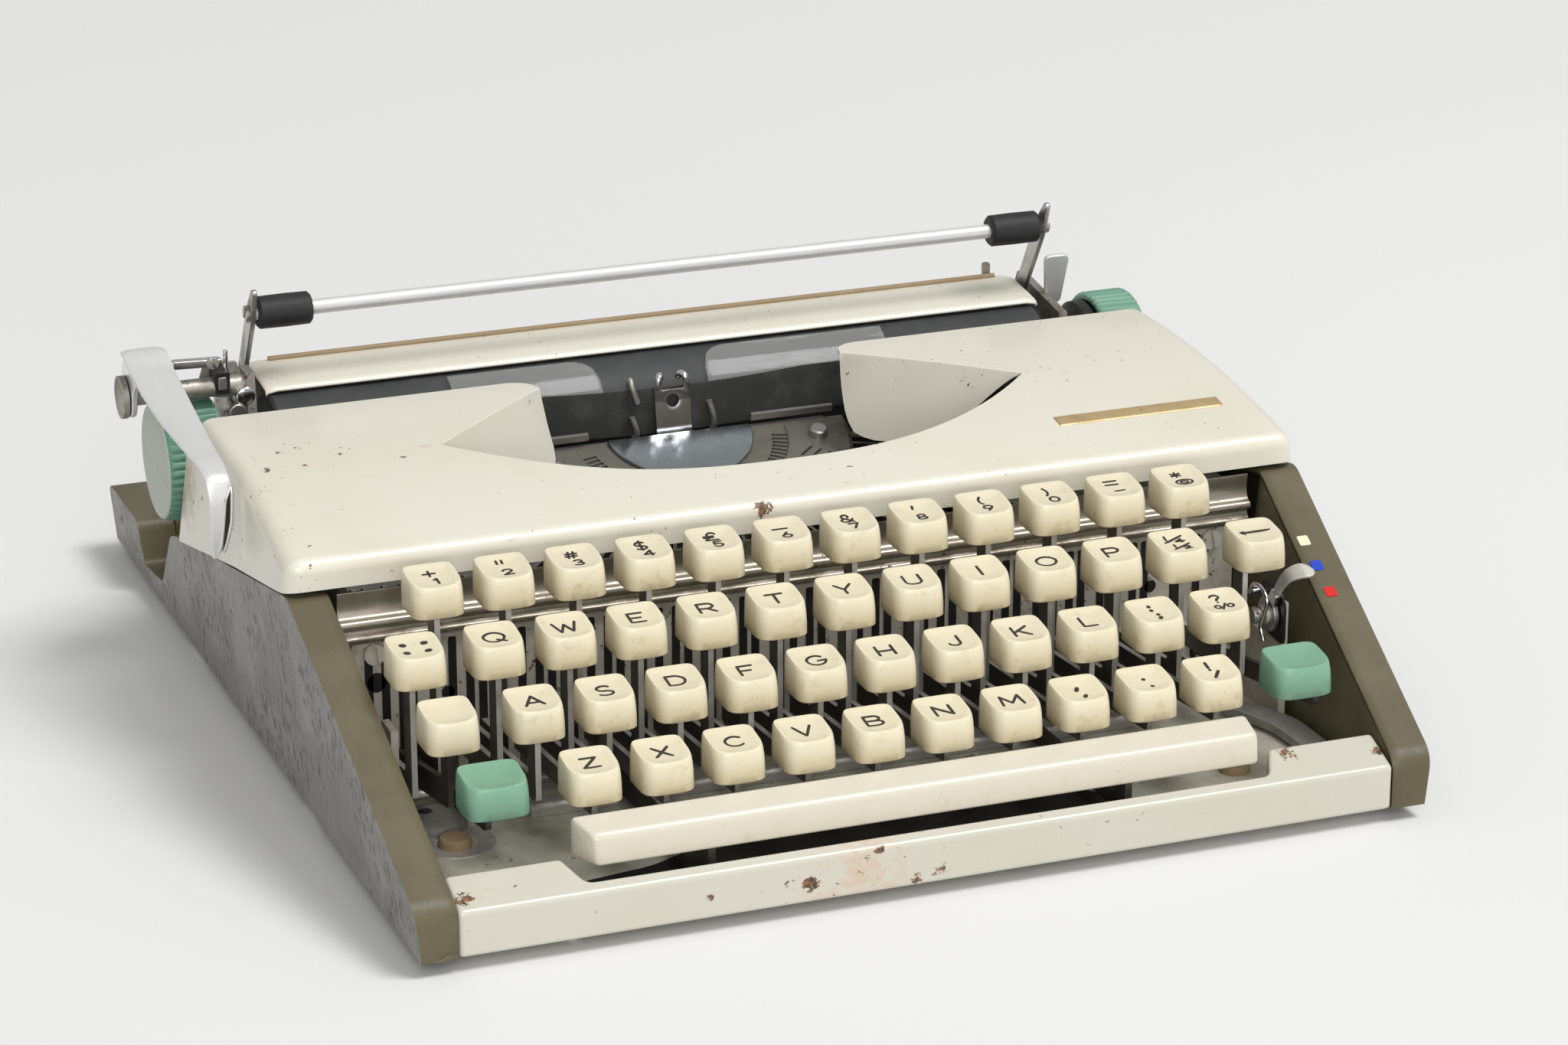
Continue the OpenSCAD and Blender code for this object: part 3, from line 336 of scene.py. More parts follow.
def rounded(outline, radius, steps=5):
    # each corner becomes a curve B + (1-t)^2 (A-B) + t^2 (C-B) between points a radius away along both edges
    p = np.asarray(outline, float)
    r = np.broadcast_to(np.asarray(radius, float), (len(p),))[:, None]
    back, ahead = np.roll(p, 1, 0) - p, np.roll(p, -1, 0) - p
    lb, la = np.linalg.norm(back, axis=1, keepdims=True), np.linalg.norm(ahead, axis=1, keepdims=True)
    a, c = back / lb * np.minimum(r, 0.45 * lb), ahead / la * np.minimum(r, 0.45 * la)
    t = np.linspace(0, 1, steps)[None, :, None]
    return (p[:, None] + (1 - t) ** 2 * a[:, None] + t ** 2 * c[:, None]).reshape(-1, 2)


def spread(plan, axis, level):
    # places an outline's two coordinates on the plane at one level of an axis
    plan = np.asarray(plan, float)
    return np.insert(plan, "xyz".index(axis), level, axis=1)


def prism(outline, axis, low, high):
    # an outline carried straight along an axis and closed at both ends
    n = len(outline)
    points = np.stack([spread(outline, axis, low), spread(outline, axis, high)])
    verts, faces = grid(points, wrapV=True)
    return verts, faces + [list(range(n)), list(range(2 * n - 1, n - 1, -1))]


def lathe(profile, centre, axis="x", sides=64, wave=0.0, count=0):
    # rings of (distance along the axis, radius) turned about a centre; wave ribs the radius count times
    prof = np.asarray(profile, float)
    a = np.linspace(0, 2 * np.pi, sides, endpoint=False)
    swell = 1 + wave * (np.abs(np.sin(count * a / 2)) - 0.5) if count else np.ones(sides)
    ribbed = prof[:, 2] if prof.shape[1] > 2 else np.zeros(len(prof))
    r = prof[:, 1:2] * (1 + ribbed[:, None] * (swell[None] - 1))
    along = np.broadcast_to(prof[:, :1], r.shape)
    ring = [r * np.cos(a), r * np.sin(a)]
    ring.insert("xyz".index(axis), along)
    return grid(np.stack(ring, -1) + np.asarray(centre, float), wrapV=True)


def tube(path, radius, sides=14):
    # circles across a path; both ends close to a point
    path = np.asarray(path, float)
    path = np.vstack([path[:1], path, path[-1:]])
    r = np.full(len(path), float(radius)) if np.isscalar(radius) else np.concatenate([[0], radius, [0]])
    r[[0, -1]] = 0
    along = np.gradient(path, axis=0)
    along[0], along[-1] = along[1], along[-2]
    along /= np.linalg.norm(along, axis=1, keepdims=True)
    side = np.cross(along, np.where(np.abs(along[:, :1]) > 0.9, [[0.0, 0, 1]], [[1.0, 0, 0]]))
    side /= np.linalg.norm(side, axis=1, keepdims=True)
    up = np.cross(along, side)
    a = np.linspace(0, 2 * np.pi, sides, endpoint=False)[None, :, None]
    return grid(path[:, None] + r[:, None, None] * (side[:, None] * np.cos(a) + up[:, None] * np.sin(a)),
                wrapV=True)


def curve(points, n):
    # a smooth line through points: each coordinate is a cubic in the distance between neighbours
    p = np.asarray(points, float)
    s = np.concatenate([[0], np.cumsum(np.linalg.norm(np.diff(p, axis=0), axis=1))])
    slope = np.gradient(p, s, axis=0)
    t = np.linspace(0, s[-1], n)
    i = np.clip(np.searchsorted(s, t, "right") - 1, 0, len(s) - 2)
    h = (s[i + 1] - s[i])[:, None]
    u = (t - s[i])[:, None] / h
    return ((1 + 2 * u) * (1 - u) ** 2 * p[i] + u * (1 - u) ** 2 * h * slope[i]
            + u ** 2 * (3 - 2 * u) * p[i + 1] + u ** 2 * (u - 1) * h * slope[i + 1])


def turned(part, axis, degrees, centre):
    # points turned about a line through a centre
    t = np.radians(degrees)
    i, j = {"x": (1, 2), "y": (2, 0), "z": (0, 1)}[axis]
    p = part[0] - np.asarray(centre, float)
    q = p.copy()
    q[:, i], q[:, j] = p[:, i] * np.cos(t) - p[:, j] * np.sin(t), p[:, i] * np.sin(t) + p[:, j] * np.cos(t)
    return q + np.asarray(centre, float), part[1]


def screw(centre, radius, axis="x", sign=1, slot=0.0, height=1.2):
    # a domed head in two halves with a slot between them, on a thin washer; slot turns it
    a = np.radians(np.linspace(-78, 78, 14))
    half = np.stack([np.cos(a), np.sin(a)], 1) * radius
    half[:, 0] = np.maximum(half[:, 0], 0.16 * radius)
    tops = [prism(half * s, "z", 0.3, height) for s in (1, -1)]
    disc = lathe([(0, 0), (0, radius * 1.02), (0.5 * height, radius), (0.5 * height, 0)], (0, 0, 0), "z", 28)
    part = turned(join(disc, *tops), "z", slot, (0, 0, 0))
    p = part[0] * np.array([1, 1, sign])
    order = {"x": [2, 0, 1], "y": [0, 2, 1], "z": [0, 1, 2]}[axis]
    return p[:, order] + np.asarray(centre, float), part[1]


def roundEdges(made, name, width, segments, bend):
    # a bevel along the edges that bend by more than an angle in degrees
    mod = made.modifiers.new(name, "BEVEL")
    mod.width, mod.segments = width * mm, segments
    mod.limit_method, mod.angle_limit = "ANGLE", np.radians(bend)


def piece(name, body, parts, replaces=(), solid=0.0, bevel=0.0, segments=3, sharp=38, bend=30, up=None,
          rim=0.0):
    # one object from (points, faces, look, darkening share) parts, at the origin with its place in the mesh
    parts = [(*p, None)[:4] if len(p) < 4 else p for p in parts]
    verts, faces = join(*parts)
    names = list(dict.fromkeys(p[2] for p in parts))
    marks = np.concatenate([np.full(len(p[1]), names.index(p[2])) for p in parts])
    darkening = np.concatenate([np.zeros(len(p[0])) if p[3] is None else np.broadcast_to(p[3], len(p[0]))
                           for p in parts])
    mesh = bpy.data.meshes.new(name)
    mesh.from_pydata(((verts - [0, frontFace, 0]) * mm).tolist(), [], faces)
    mesh.polygons.foreach_set("material_index", marks.astype(np.int32))
    mesh.attributes.new("darkShare", "FLOAT", "POINT").data.foreach_set("value", darkening.astype(np.float32))
    work = bmesh.new()
    work.from_mesh(mesh)
    bmesh.ops.remove_doubles(work, verts=work.verts, dist=0.004 * mm)
    bmesh.ops.recalc_face_normals(work, faces=work.faces)
    if up is not None and sum(f.normal.dot(up) * f.calc_area() for f in work.faces) < 0:
        bmesh.ops.reverse_faces(work, faces=work.faces)
    work.to_mesh(mesh)
    work.free()
    for key in names:
        mesh.materials.append(looks[key])
    mesh.polygons.foreach_set("use_smooth", np.ones(len(mesh.polygons), bool))
    made = bpy.data.objects.new(name, mesh)
    bpy.context.scene.collection.objects.link(made)
    if bevel:
        roundEdges(made, "edge", bevel, segments, bend)
    if solid:
        mod = made.modifiers.new("sheet", "SOLIDIFY")
        mod.thickness, mod.offset = solid * mm, -1
    if rim:
        roundEdges(made, "rim", rim, 2, 50)
    if bevel or solid:
        made.modifiers.new("normals", "WEIGHTED_NORMAL").keep_sharp = True
    else:
        mesh.set_sharp_from_angle(angle=np.radians(sharp))
    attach(made, body)
    if replaces:
        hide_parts(*replaces)
    return made


def part(shape, look, darkShare=None):
    # a shape with its look and, where it is darker, each point's share of darkening
    return (*shape, look, darkShare)


# side panels: a band along the outline and a leaning outer wall, folded from one sheet

body = {"inner": 127.5, "half": 137.0, "nose": 17.6, "lean": np.tan(np.radians(5.7)), "foot": 4.0, "sheet": 1.6}
sideLine = np.array([(0, 4), (0, 17.6), (93, 67), (225.8, 37), (234.8, 34), (256.3, 12), (280, 9), (282, 22),
                     (318, 22), (318, 4)], float)
sideRound = np.array([0.01, 4.5, 3, 8, 4, 3, 2, 3.5, 4, 0.01])


def sidePanel(sign):
    # the band runs from its inner edge to the outer wall; both lean out as x = start + (z - height) lean
    line = rounded(sideLine, sideRound, 6)
    outer = body["half"] + (line[:, 1] - body["foot"]) * body["lean"]
    s = np.linspace(0, 1, 4)[None, :]
    inner = body["inner"] + np.maximum(line[:, 1] - body["nose"], 0) * body["lean"]
    x = inner[:, None] + (outer - inner)[:, None] * s
    y, z = (np.broadcast_to(line[:, i:i + 1], x.shape) for i in (0, 1))
    band = grid(np.stack([x, y, z], -1))
    wall = np.column_stack([outer, line]), [list(range(len(line)))]
    both = join(band, wall)
    return both if sign > 0 else mirrored(both)


piece("leftPanel", "chassis", [part(sidePanel(-1), "oliveLeft")], ["left_side_panel"],
      body["sheet"], 2.4, 4, up=(-1, 0, 0.4))
piece("rightPanel", "chassis", [part(sidePanel(1), "olive")], ["right_side_panel"],
      body["sheet"], 2.4, 4, up=(1, 0, 0.4))

strip = {"plan": [(-127.2, 0), (127.2, 0), (127.2, 13), (97, 13), (93, 4), (-93, 4), (-97, 13), (-127.2, 13)],
         "round": [1.5, 1.5, 1.5, 1.2, 2, 2, 1.2, 1.5], "top": 16.2, "climb": 4.6 / 13}
stripPoints, stripFaces = prism(rounded(strip["plan"], strip["round"]), "z", body["foot"], strip["top"])
stripPoints[:, 2] += np.where(stripPoints[:, 2] > 10, stripPoints[:, 1] * strip["climb"], 0)
piece("frontStrip", "chassis", [part((stripPoints, stripFaces), "creamFront")], ["front_panel"],
      bevel=1.5, segments=4)

# inner walls under the flanges: upright to the nose's height, then leaning with the flange
wallForm = {"y": (1.8, 92.5), "low": 4.2, "below": 1.2, "x": body["inner"] + 0.2, "rows": 40, "sheet": 0.5}
wallY = np.linspace(*wallForm["y"], wallForm["rows"])
wallTop = np.interp(wallY, sideLine[1:3, 0], sideLine[1:3, 1]) - wallForm["below"]
wallX = np.full(wallForm["rows"], wallForm["x"])
wallHighX = wallForm["x"] + np.maximum(wallTop - body["nose"], 0) * body["lean"]
wallHigh = np.column_stack([wallHighX, wallY, wallTop])
wallLow = np.column_stack([wallX, wallY, np.full(wallForm["rows"], wallForm["low"])])
wallMid = np.column_stack([wallX, wallY, np.minimum(wallTop - wallForm["sheet"], body["nose"])])
inside = grid(np.stack([wallLow, wallMid, wallHigh]))
piece("innerWalls", "chassis", [part(inside, "olive"), part(mirrored(inside), "olive")],
      solid=wallForm["sheet"], up=(0, 0, 1))

deckForm = {"line": [(282, 5.6), (282, 22), (318, 22), (318, 4)], "round": [0.01, 3, 4.5, 0.01], "half": 127.2}
deckLine = rounded(deckForm["line"], deckForm["round"], 6)[5:-5]
deck = np.stack([spread(deckLine, "x", x) for x in np.linspace(-deckForm["half"], deckForm["half"], 3)])
piece("rearDeck", "chassis", [part(grid(deck), "olive")], ["rear_deck"], body["sheet"],
      up=(0, 0.3, 1))

footForm = {"profile": [(0, 0), (0, 7.2), (0.8, 8), (4, 7.6), (4, 0)], "x": (-103, 103), "y": (34, 294)}
feet = [part(lathe(footForm["profile"], (x, y, 0), "z", 40), "rubber") for x in footForm["x"]
        for y in footForm["y"]]
piece("feet", "chassis", feet, ["rubber_feet"])
print("stage: body panels")


# ribbon cover: crowned sheet with rounded rims, a smile shaped mouth, wings, skirt and cheeks

cover = {"front": 91.8, "rear": 189.8, "half": 141.4, "lip": 68.2, "edge": 76.0, "crown": (147.8, 83.2),
         "back": 83.5, "sideRound": 4.6, "frontRound": 3.0, "cornerRound": 4.4, "right": 1.2, "left": 2.2,
         "askew": (-1.5, 2.15), "wideX": 85.0, "wideY": 147.8, "rearX": 44.7, "rearRound": 8.0, "smileY": 113.2,
         "smilePower": 2.6, "fall": 0.2256, "lean": 0.045, "sheet": 1.5}
platen = {"y": 223.3, "z": 61.0, "r": 16.0, "edge": 0.8, "x": 4.0, "half": 117.0, "shaft": (-144, 150),
          "shaftR": 4.0}


def circleThrough(a, b, c):
    # centre and radius from equal distances to three points, as two linear equations
    a, b, c = (np.array(p, float) for p in (a, b, c))
    m = np.linalg.solve(2 * np.array([b - a, c - a]), [b @ b - a @ a, c @ c - a @ a])
    return m, np.linalg.norm(a - m)


crownMid, crownR = circleThrough((cover["front"], cover["edge"]), cover["crown"],
                                 (cover["rear"], cover["back"]))


def frontAt(x):
    # front edge in plan: straight, turning back in a quarter circle at each corner
    r = cover["cornerRound"]
    q = np.clip((np.abs(x) - (cover["half"] - r)) / r, 0, 1)
    return cover["front"] + r * (1 - np.sqrt(np.maximum(1 - q ** 2, 0)))


def coverTop(x, y):
    # crown arc less a rounding that falls off towards the side and front edges as 1 - sqrt(1 - q^2)
    z = crownMid[1] + np.sqrt(crownR ** 2 - (y - crownMid[0]) ** 2)
    qx = np.clip(1 - (cover["half"] - np.abs(x)) / cover["sideRound"], 0, 1)
    qy = np.clip(1 - (y - frontAt(x)) / cover["frontRound"], 0, 1)
    drop = np.hypot(cover["sideRound"] * (1 - np.sqrt(1 - qx ** 2)),
                    cover["frontRound"] * (1 - np.sqrt(1 - qy ** 2)))
    return z - drop


def skirtLow(y):
    # lower line of the cover: the lip's height less a steady fall behind the front
    return cover["lip"] - np.maximum(y - cover["front"], 0) * cover["fall"]


outerShare = np.concatenate([np.linspace(0, 0.10, 10), np.linspace(0.14, 0.80, 11),
                             1 - 0.2 * (1 - np.sin(np.linspace(0.15, np.pi / 2, 12)))])
sideX = cover["wideX"] + (cover["half"] - cover["wideX"]) * outerShare
midX = np.linspace(-cover["wideX"], cover["wideX"], 69)
coverX = np.concatenate([-sideX[::-1], midX[1:-1], sideX])
wide = np.minimum(np.abs(coverX) / cover["wideX"], 1)
backY = cover["smileY"] + (cover["wideY"] - cover["smileY"]) * wide ** cover["smilePower"]
near = cover["frontRound"] * (1 - np.cos(np.linspace(0, np.pi / 2, 9)))
frontY = frontAt(coverX)
rowsNear = frontY[:, None] + near[None]
far = np.linspace(0, 1, 24)[1:]
rowsFar = rowsNear[:, -1:] + (backY[:, None] - rowsNear[:, -1:]) * far[None]
topY = np.concatenate([rowsNear, rowsFar], 1)
topX = np.broadcast_to(coverX[:, None], topY.shape)
frontTop = np.stack([topX, topY, coverTop(topX, topY)], -1)

ridgeShare = np.linspace(0, 1, 25)
ridgeX = cover["wideX"] + (cover["rearX"] - cover["wideX"]) * ridgeShare
rearXs = ridgeX[None] + (cover["half"] - ridgeX[None]) * outerShare[:, None]
turnIn = np.clip((cover["rearX"] + cover["rearRound"] - rearXs[:, -1:]) / cover["rearRound"], 0, 1)
rearLimit = cover["rear"] - cover["rearRound"] * (1 - np.sqrt(1 - turnIn ** 2))
rearYs = cover["wideY"] + (rearLimit - cover["wideY"]) * ridgeShare[None]
rearTop = np.stack([rearXs, rearYs, coverTop(rearXs, rearYs)], -1)

wingA, wingB = rearTop[0, -1], rearTop[0, 0]
hem = [(82.2, 149.8, 81.0), (78.4, 151.6, 77.4), (73.4, 154.0, 72.0), (67.8, 156.8, 65.2), (62.2, 160.4, 61.8),
       (54.6, 166.5, 60.4), (46.9, 172.8, 60.6), (44.4, 175.4, 62.0), (43.7, 176.8, 64.7), (43.9, 180.3, 73.1)]
wingLow = curve([wingB, *hem, wingA], len(ridgeShare))
share = np.linspace(0, 1, 9)[:, None, None]
wing = rearTop[0][None] + (wingLow - rearTop[0])[None] * share

skirtShare = np.linspace(0, 1, 17)[None, :, None]


def skirt(edge):
    # drops an edge to the lower line of the cover; its sides lean out by a share of the drop
    low = edge.copy()
    low[:, 2] = skirtLow(edge[:, 1])
    low[:, 0] += np.clip(edge[:, 0] / cover["half"], -1, 1) ** 15 * cover["lean"] * (edge[:, 2] - low[:, 2])
    return edge[:, None] + (low - edge)[:, None] * skirtShare


sideEdge = np.concatenate([frontTop[-1], rearTop[-1][1:]])
sideSkirt = skirt(sideEdge)
cheekTop = sideSkirt[-1, 0, 2]
cheekLine = np.array([(192.5, 82.2), (195.8, 80.0), (201.4, 72.0), (205.9, 56.6), (210.3, skirtLow(210.3))])
cheekSteps = np.concatenate([[0], np.cumsum(np.linalg.norm(np.diff(cheekLine, axis=0), axis=1))])
cheekAt = np.linspace(0, cheekSteps[-1], 17)
cheekY, cheekZ = (np.interp(cheekAt, cheekSteps, cheekLine[:, i]) for i in (0, 1))
cheekZ = np.minimum(cheekZ, cheekTop)
cheekEnd = np.stack([cover["half"] + cover["lean"] * (cheekTop - cheekZ), cheekY, cheekZ], 1)
cheek = sideSkirt[-1][None] + (cheekEnd - sideSkirt[-1])[None] * np.linspace(0, 1, 12)[:, None, None]
rightHalf = [grid(rearTop), grid(wing), grid(sideSkirt), grid(cheek)]
coverParts = [grid(frontTop), grid(skirt(frontTop[:, 0]))] + rightHalf + [mirrored(p) for p in rightHalf]
coverPoints, coverFaces = join(*coverParts)
atX, atY, atZ = coverPoints.T
out = np.abs(atX / cover["half"])
leftBulge = cover["left"] * np.clip((150 - atY) / 50, 0, 1)
bulge = np.where(atX > 0, cover["right"], -leftBulge) * np.minimum(out, 1) ** 8
hemShift = cover["askew"][0] + cover["askew"][1] * np.clip((83 - atZ) / 21, 0, 1)
askew = hemShift * np.clip((atY - cover["wideY"]) / 30, 0, 1)
coverPoints[:, 0] += bulge + askew * np.clip(1 - out ** 2, 0, 1)
piece("ribbonCover", "cover", [part((coverPoints, coverFaces), "cream")], ["ribbon_cover"],
      cover["sheet"], 1.6, 3, up=(0, 0, 1), rim=0.45)

giltPlace = {"x": (81.0, 130.0), "y": 114.6, "width": 5.6, "rise": (0.05, 0.45, 0.45, 0.05)}
giltU = np.linspace(*giltPlace["x"], 30)[:, None]
giltX = np.broadcast_to(giltU, (30, 4))
giltY = giltPlace["y"] + giltPlace["width"] * np.broadcast_to(np.array([-0.5, -0.38, 0.38, 0.5])[None], (30, 4))
giltZ = coverTop(giltX, giltY) + np.array(giltPlace["rise"])[None]
piece("giltStrip", "cover", [part(grid(np.stack([giltX, giltY, giltZ], -1)), "gilt")], solid=0.4,
      up=(0, 0, 1))
print("stage: ribbon cover")


# keys: a dished cap, a legend of round-ended strokes and a flat lever

rowY = [74.2, 57.6, 41.0, 24.4]
rowTop = [75.3, 63.7, 52.1, 40.5]
rowStart = [-5.78, -5.21, -4.96, -4.475]
keyForm = {"pitch": 19.0, "width": 14.0, "depth": 14.0, "height": 9.4, "rear": 6.5, "tilt": 0.135, "sides": 48,
           "stroke": 0.38, "letter": 4.5, "wide": 1.35, "figure": (3.3, 2.9), "raise": 0.05}
ringScale = np.array([0, .97, 1, 1, .997, .988, .974, .956, .934, .90, .78, .54, .26, 0])
ringRise = np.array([0, 0, .03, .25, .5, .74, .9, .965, .994, .998, .962, .92, .90, .895])
ringFront = np.array([4.4, 4.4, 4.4, 4.3, 4.0, 3.6, 3.2, 3.0, 2.85, 2.8, 2.7, 2.5, 2.3, 2.2])
# each ring's share of darkening: most at the base, none on the lip, a little in the dish
ringDarkShare = np.array([.95, .95, .95, .8, .55, .32, .15, .05, 0, 0.08, 0.22, .25, .25, .25])
ringLean = np.concatenate([np.clip((ringRise[:8] - 0.3) / 0.6, 0, 1), np.ones(6)])


def capRound(width):
    # each ring in plan: |x/a|^n + |y/b|^n = 1, with a rounder power n in front than behind
    t = np.linspace(0, 2 * np.pi, keyForm["sides"], endpoint=False) + np.pi / keyForm["sides"]
    power = 2 / np.where(np.sin(t)[None] < 0, ringFront[:, None], keyForm["rear"])
    return np.stack([np.sign(np.cos(t)) * np.abs(np.cos(t)) ** power * width / 2,
                     np.sign(np.sin(t)) * np.abs(np.sin(t)) ** power * keyForm["depth"] / 2], -1)


def keyCap(x, y, top, width, look):
    # rings of the rounded square from the base up the flared side, over the lip and into the dish
    plan = capRound(width) * ringScale[:, None, None]
    z = top - keyForm["height"] * (1 - ringRise[:, None]) + keyForm["tilt"] * ringLean[:, None] * plan[..., 1]
    shape = grid(np.stack([plan[..., 0] + x, plan[..., 1] + y, z], -1), wrapV=True)
    return part(shape, look, np.repeat(ringDarkShare, keyForm["sides"]))


def dishAt(u, v, width):
    # height of the dished top, from the ring that passes through a point
    n = np.where(v < 0, ringFront[10], keyForm["rear"])
    r = (np.abs(2 * u / width) ** n + np.abs(2 * v / keyForm["depth"]) ** n) ** (1 / n)
    return keyForm["height"] * (np.interp(r, ringScale[:8:-1], ringRise[:8:-1]) - 1) + keyForm["tilt"] * v


def bar(*xy):
    # straight strokes between following points
    pts = np.array(xy, float).reshape(-1, 2)
    return [pts[i:i + 2] for i in range(len(pts) - 1)]


def bow(cx, cy, rx, ry, start, end):
    # part of an ellipse: centre + (rx cos t, ry sin t) between two angles
    t = np.radians(np.linspace(start, end, max(6, int(abs(end - start) / 16))))
    return [np.stack([cx + rx * np.cos(t), cy + ry * np.sin(t)], 1)]


snake = bow(.33, .75, .3, .25, 40, 270) + bow(.33, .25, .33, .25, 90, -145)
pole = bar(0, 0, 0, 1, .4, 1) + bow(.4, .74, .27, .26, 90, -90) + bar(0, .48, .4, .48)
glyphs = {
    "A": bar(0, 0, .4, 1, .8, 0) + bar(.13, .33, .67, .33),
    "B": bar(.42, 1, 0, 1, 0, 0, .45, 0) + bow(.42, .76, .25, .24, 90, -90) + bar(0, .52, .45, .52)
    + bow(.45, .26, .28, .26, 90, -90),
    "C": bow(.42, .5, .42, .5, 48, 312),
    "D": bar(.35, 1, 0, 1, 0, 0, .35, 0) + bow(.35, .5, .42, .5, 90, -90),
    "E": bar(.62, 1, 0, 1, 0, 0, .62, 0) + bar(0, .52, .5, .52),
    "F": bar(.62, 1, 0, 1, 0, 0) + bar(0, .52, .5, .52),
    "G": bow(.42, .5, .42, .5, 48, 358) + bar(.84, .48, .5, .48),
    "H": bar(0, 0, 0, 1) + bar(.72, 0, .72, 1) + bar(0, .5, .72, .5),
    "I": bar(.1, 0, .1, 1),
    "J": bar(.5, 1, .5, .25) + bow(.25, .25, .25, .25, 0, -180),
    "K": bar(0, 0, 0, 1) + bar(.68, 1, 0, .4) + bar(.24, .6, .7, 0),
    "L": bar(0, 1, 0, 0, .6, 0),
    "M": bar(0, 0, .08, 1, .48, .25, .88, 1, .96, 0),
    "N": bar(0, 0, 0, 1, .74, 0, .74, 1),
    "O": bow(.45, .5, .45, .5, 0, 360),
    "P": pole,
    "Q": bow(.45, .5, .45, .5, 0, 360) + bar(.55, .25, .88, -.06),
    "R": pole + bar(.38, .48, .7, 0),
    "S": snake,
    "T": bar(0, 1, .74, 1) + bar(.37, 1, .37, 0),
    "U": bar(0, 1, 0, .3) + bow(.36, .3, .36, .3, 180, 360) + bar(.72, .3, .72, 1),
    "V": bar(0, 1, .38, 0, .76, 1),
    "W": bar(0, 1, .24, 0, .5, .85, .76, 0, 1, 1),
    "X": bar(0, 0, .7, 1) + bar(0, 1, .7, 0),
    "Y": bar(0, 1, .36, .48, .72, 1) + bar(.36, .48, .36, 0),
    "Z": bar(.02, 1, .68, 1, 0, 0, .7, 0),
    "1": bar(.1, .8, .3, 1, .3, 0),
    "2": bow(.3, .72, .3, .28, 170, -30) + bar(.55, .56, 0, 0, .62, 0),
    "3": bow(.28, .75, .26, .25, 150, -90) + bow(.28, .26, .3, .26, 90, -150),
    "4": bar(.5, 0, .5, 1, 0, .3, .68, .3),
    "5": bar(.56, 1, .1, 1, .06, .52) + bow(.28, .31, .3, .31, 135, -150),
    "6": bow(.32, .3, .3, .3, 0, 360) + bar(.05, .42, .42, 1),
    "7": bar(0, 1, .62, 1, .22, 0),
    "8": bow(.3, .75, .25, .25, 0, 360) + bow(.3, .26, .3, .26, 0, 360),
    "9": bow(.3, .7, .3, .3, 0, 360) + bar(.57, .58, .2, 0),
    "0": bow(.32, .5, .32, .5, 0, 360),
    "+": bar(.05, .5, .75, .5) + bar(.4, .15, .4, .85),
    '"': bar(.2, 1, .2, .62) + bar(.52, 1, .52, .62),
    "#": bar(.2, .1, .3, .9) + bar(.5, .1, .6, .9) + bar(.05, .35, .72, .35) + bar(.1, .66, .76, .66),
    "$": snake + bar(.33, -.12, .33, 1.12),
    "%": bar(.30, 0, .62, 1) + bow(.14, .5, .15, .3, 0, 360) + bow(.80, .5, .15, .3, 0, 360),
    "\u00a3": bow(.52, .72, .26, .28, 20, 190) + bar(.26, .70, .30, .30, .05, 0, .82, 0)
    + bar(.02, .56, .60, .56) + bar(.02, .38, .58, .38),
    "_": bar(0, .3, .9, .3),
    "&": bow(.3, .78, .2, .22, -40, 220) + bar(.14, .64, .72, 0) + bow(.3, .26, .3, .26, 120, 345)
    + bar(.58, .2, .72, .42),
    "'": bar(.4, 1, .34, .6),
    "(": bow(.6, .5, .35, .58, 120, 240),
    ")": bow(.1, .5, .35, .58, 60, -60),
    "=": bar(.05, .84, .85, .84) + bar(.05, .34, .85, .34),
    "-": bar(.05, .5, .7, .5),
    "*": bar(.4, .2, .4, .85) + bar(.12, .36, .68, .7) + bar(.12, .7, .68, .36),
    "@": bow(.45, .5, .2, .22, 0, 360) + bow(.45, .5, .42, .5, -70, 285),
    "q": bar(.12, 1, .12, .5) + bar(0, .1, .85, .9) + bar(.72, 0, .72, .5, .48, .16, .84, .16),
    "h": bar(.12, 1, .12, .5) + bar(0, .1, .85, .9) + bow(.64, .38, .13, .12, 170, -30)
    + bar(.75, .3, .5, 0, .82, 0),
    ":": bar(.3, .15, .3, .2) + bar(.3, .7, .3, .75),
    ";": bar(.3, .7, .3, .75) + bar(.32, .2, .22, -.1),
    "?": bow(.32, .74, .28, .26, 165, -60) + bar(.4, .5, .34, .3) + bar(.34, .02, .34, .04),
    ",": bar(.36, .24, .22, -.1),
    ".": bar(.3, .08, .3, .12),
    "!": bar(.3, 1, .3, .38) + bar(.3, .04, .3, .07),
    "/": bar(.05, -.05, .6, 1.05),
}


def stroke(path, u, v, x, y, top, width, half):
    # a thin raised band along a path on the dished top, its ends rounded by half circles
    line = path + [u, v]
    a = np.radians([8, 35, 62])
    first, last = line[0] - line[1], line[-1] - line[-2]
    first, last = first / max(np.linalg.norm(first), 1e-6), last / max(np.linalg.norm(last), 1e-6)
    line = np.vstack([line[0] + first * half * np.cos(a)[:, None], line,
                      line[-1] + last * half * np.cos(a[::-1])[:, None]])
    w = half * np.concatenate([np.sin(a), np.ones(len(path)), np.sin(a[::-1])])[:, None]
    along = np.gradient(line, axis=0)
    along /= np.linalg.norm(along, axis=1, keepdims=True)
    across = np.stack([-along[:, 1], along[:, 0]], 1) * w
    left, right = line + across, line - across
    flat = np.stack([left, right, right, left], 1)
    z = top + dishAt(flat[..., 0], flat[..., 1], width) + np.array([1, 1, -3, -3]) * keyForm["raise"]
    n = len(line)
    verts, faces = grid(np.concatenate([flat + [x, y], z[..., None]], -1), wrapV=True)
    return verts, faces + [[0, 1, 2, 3], [4 * n - 1, 4 * n - 2, 4 * n - 3, 4 * n - 4]]


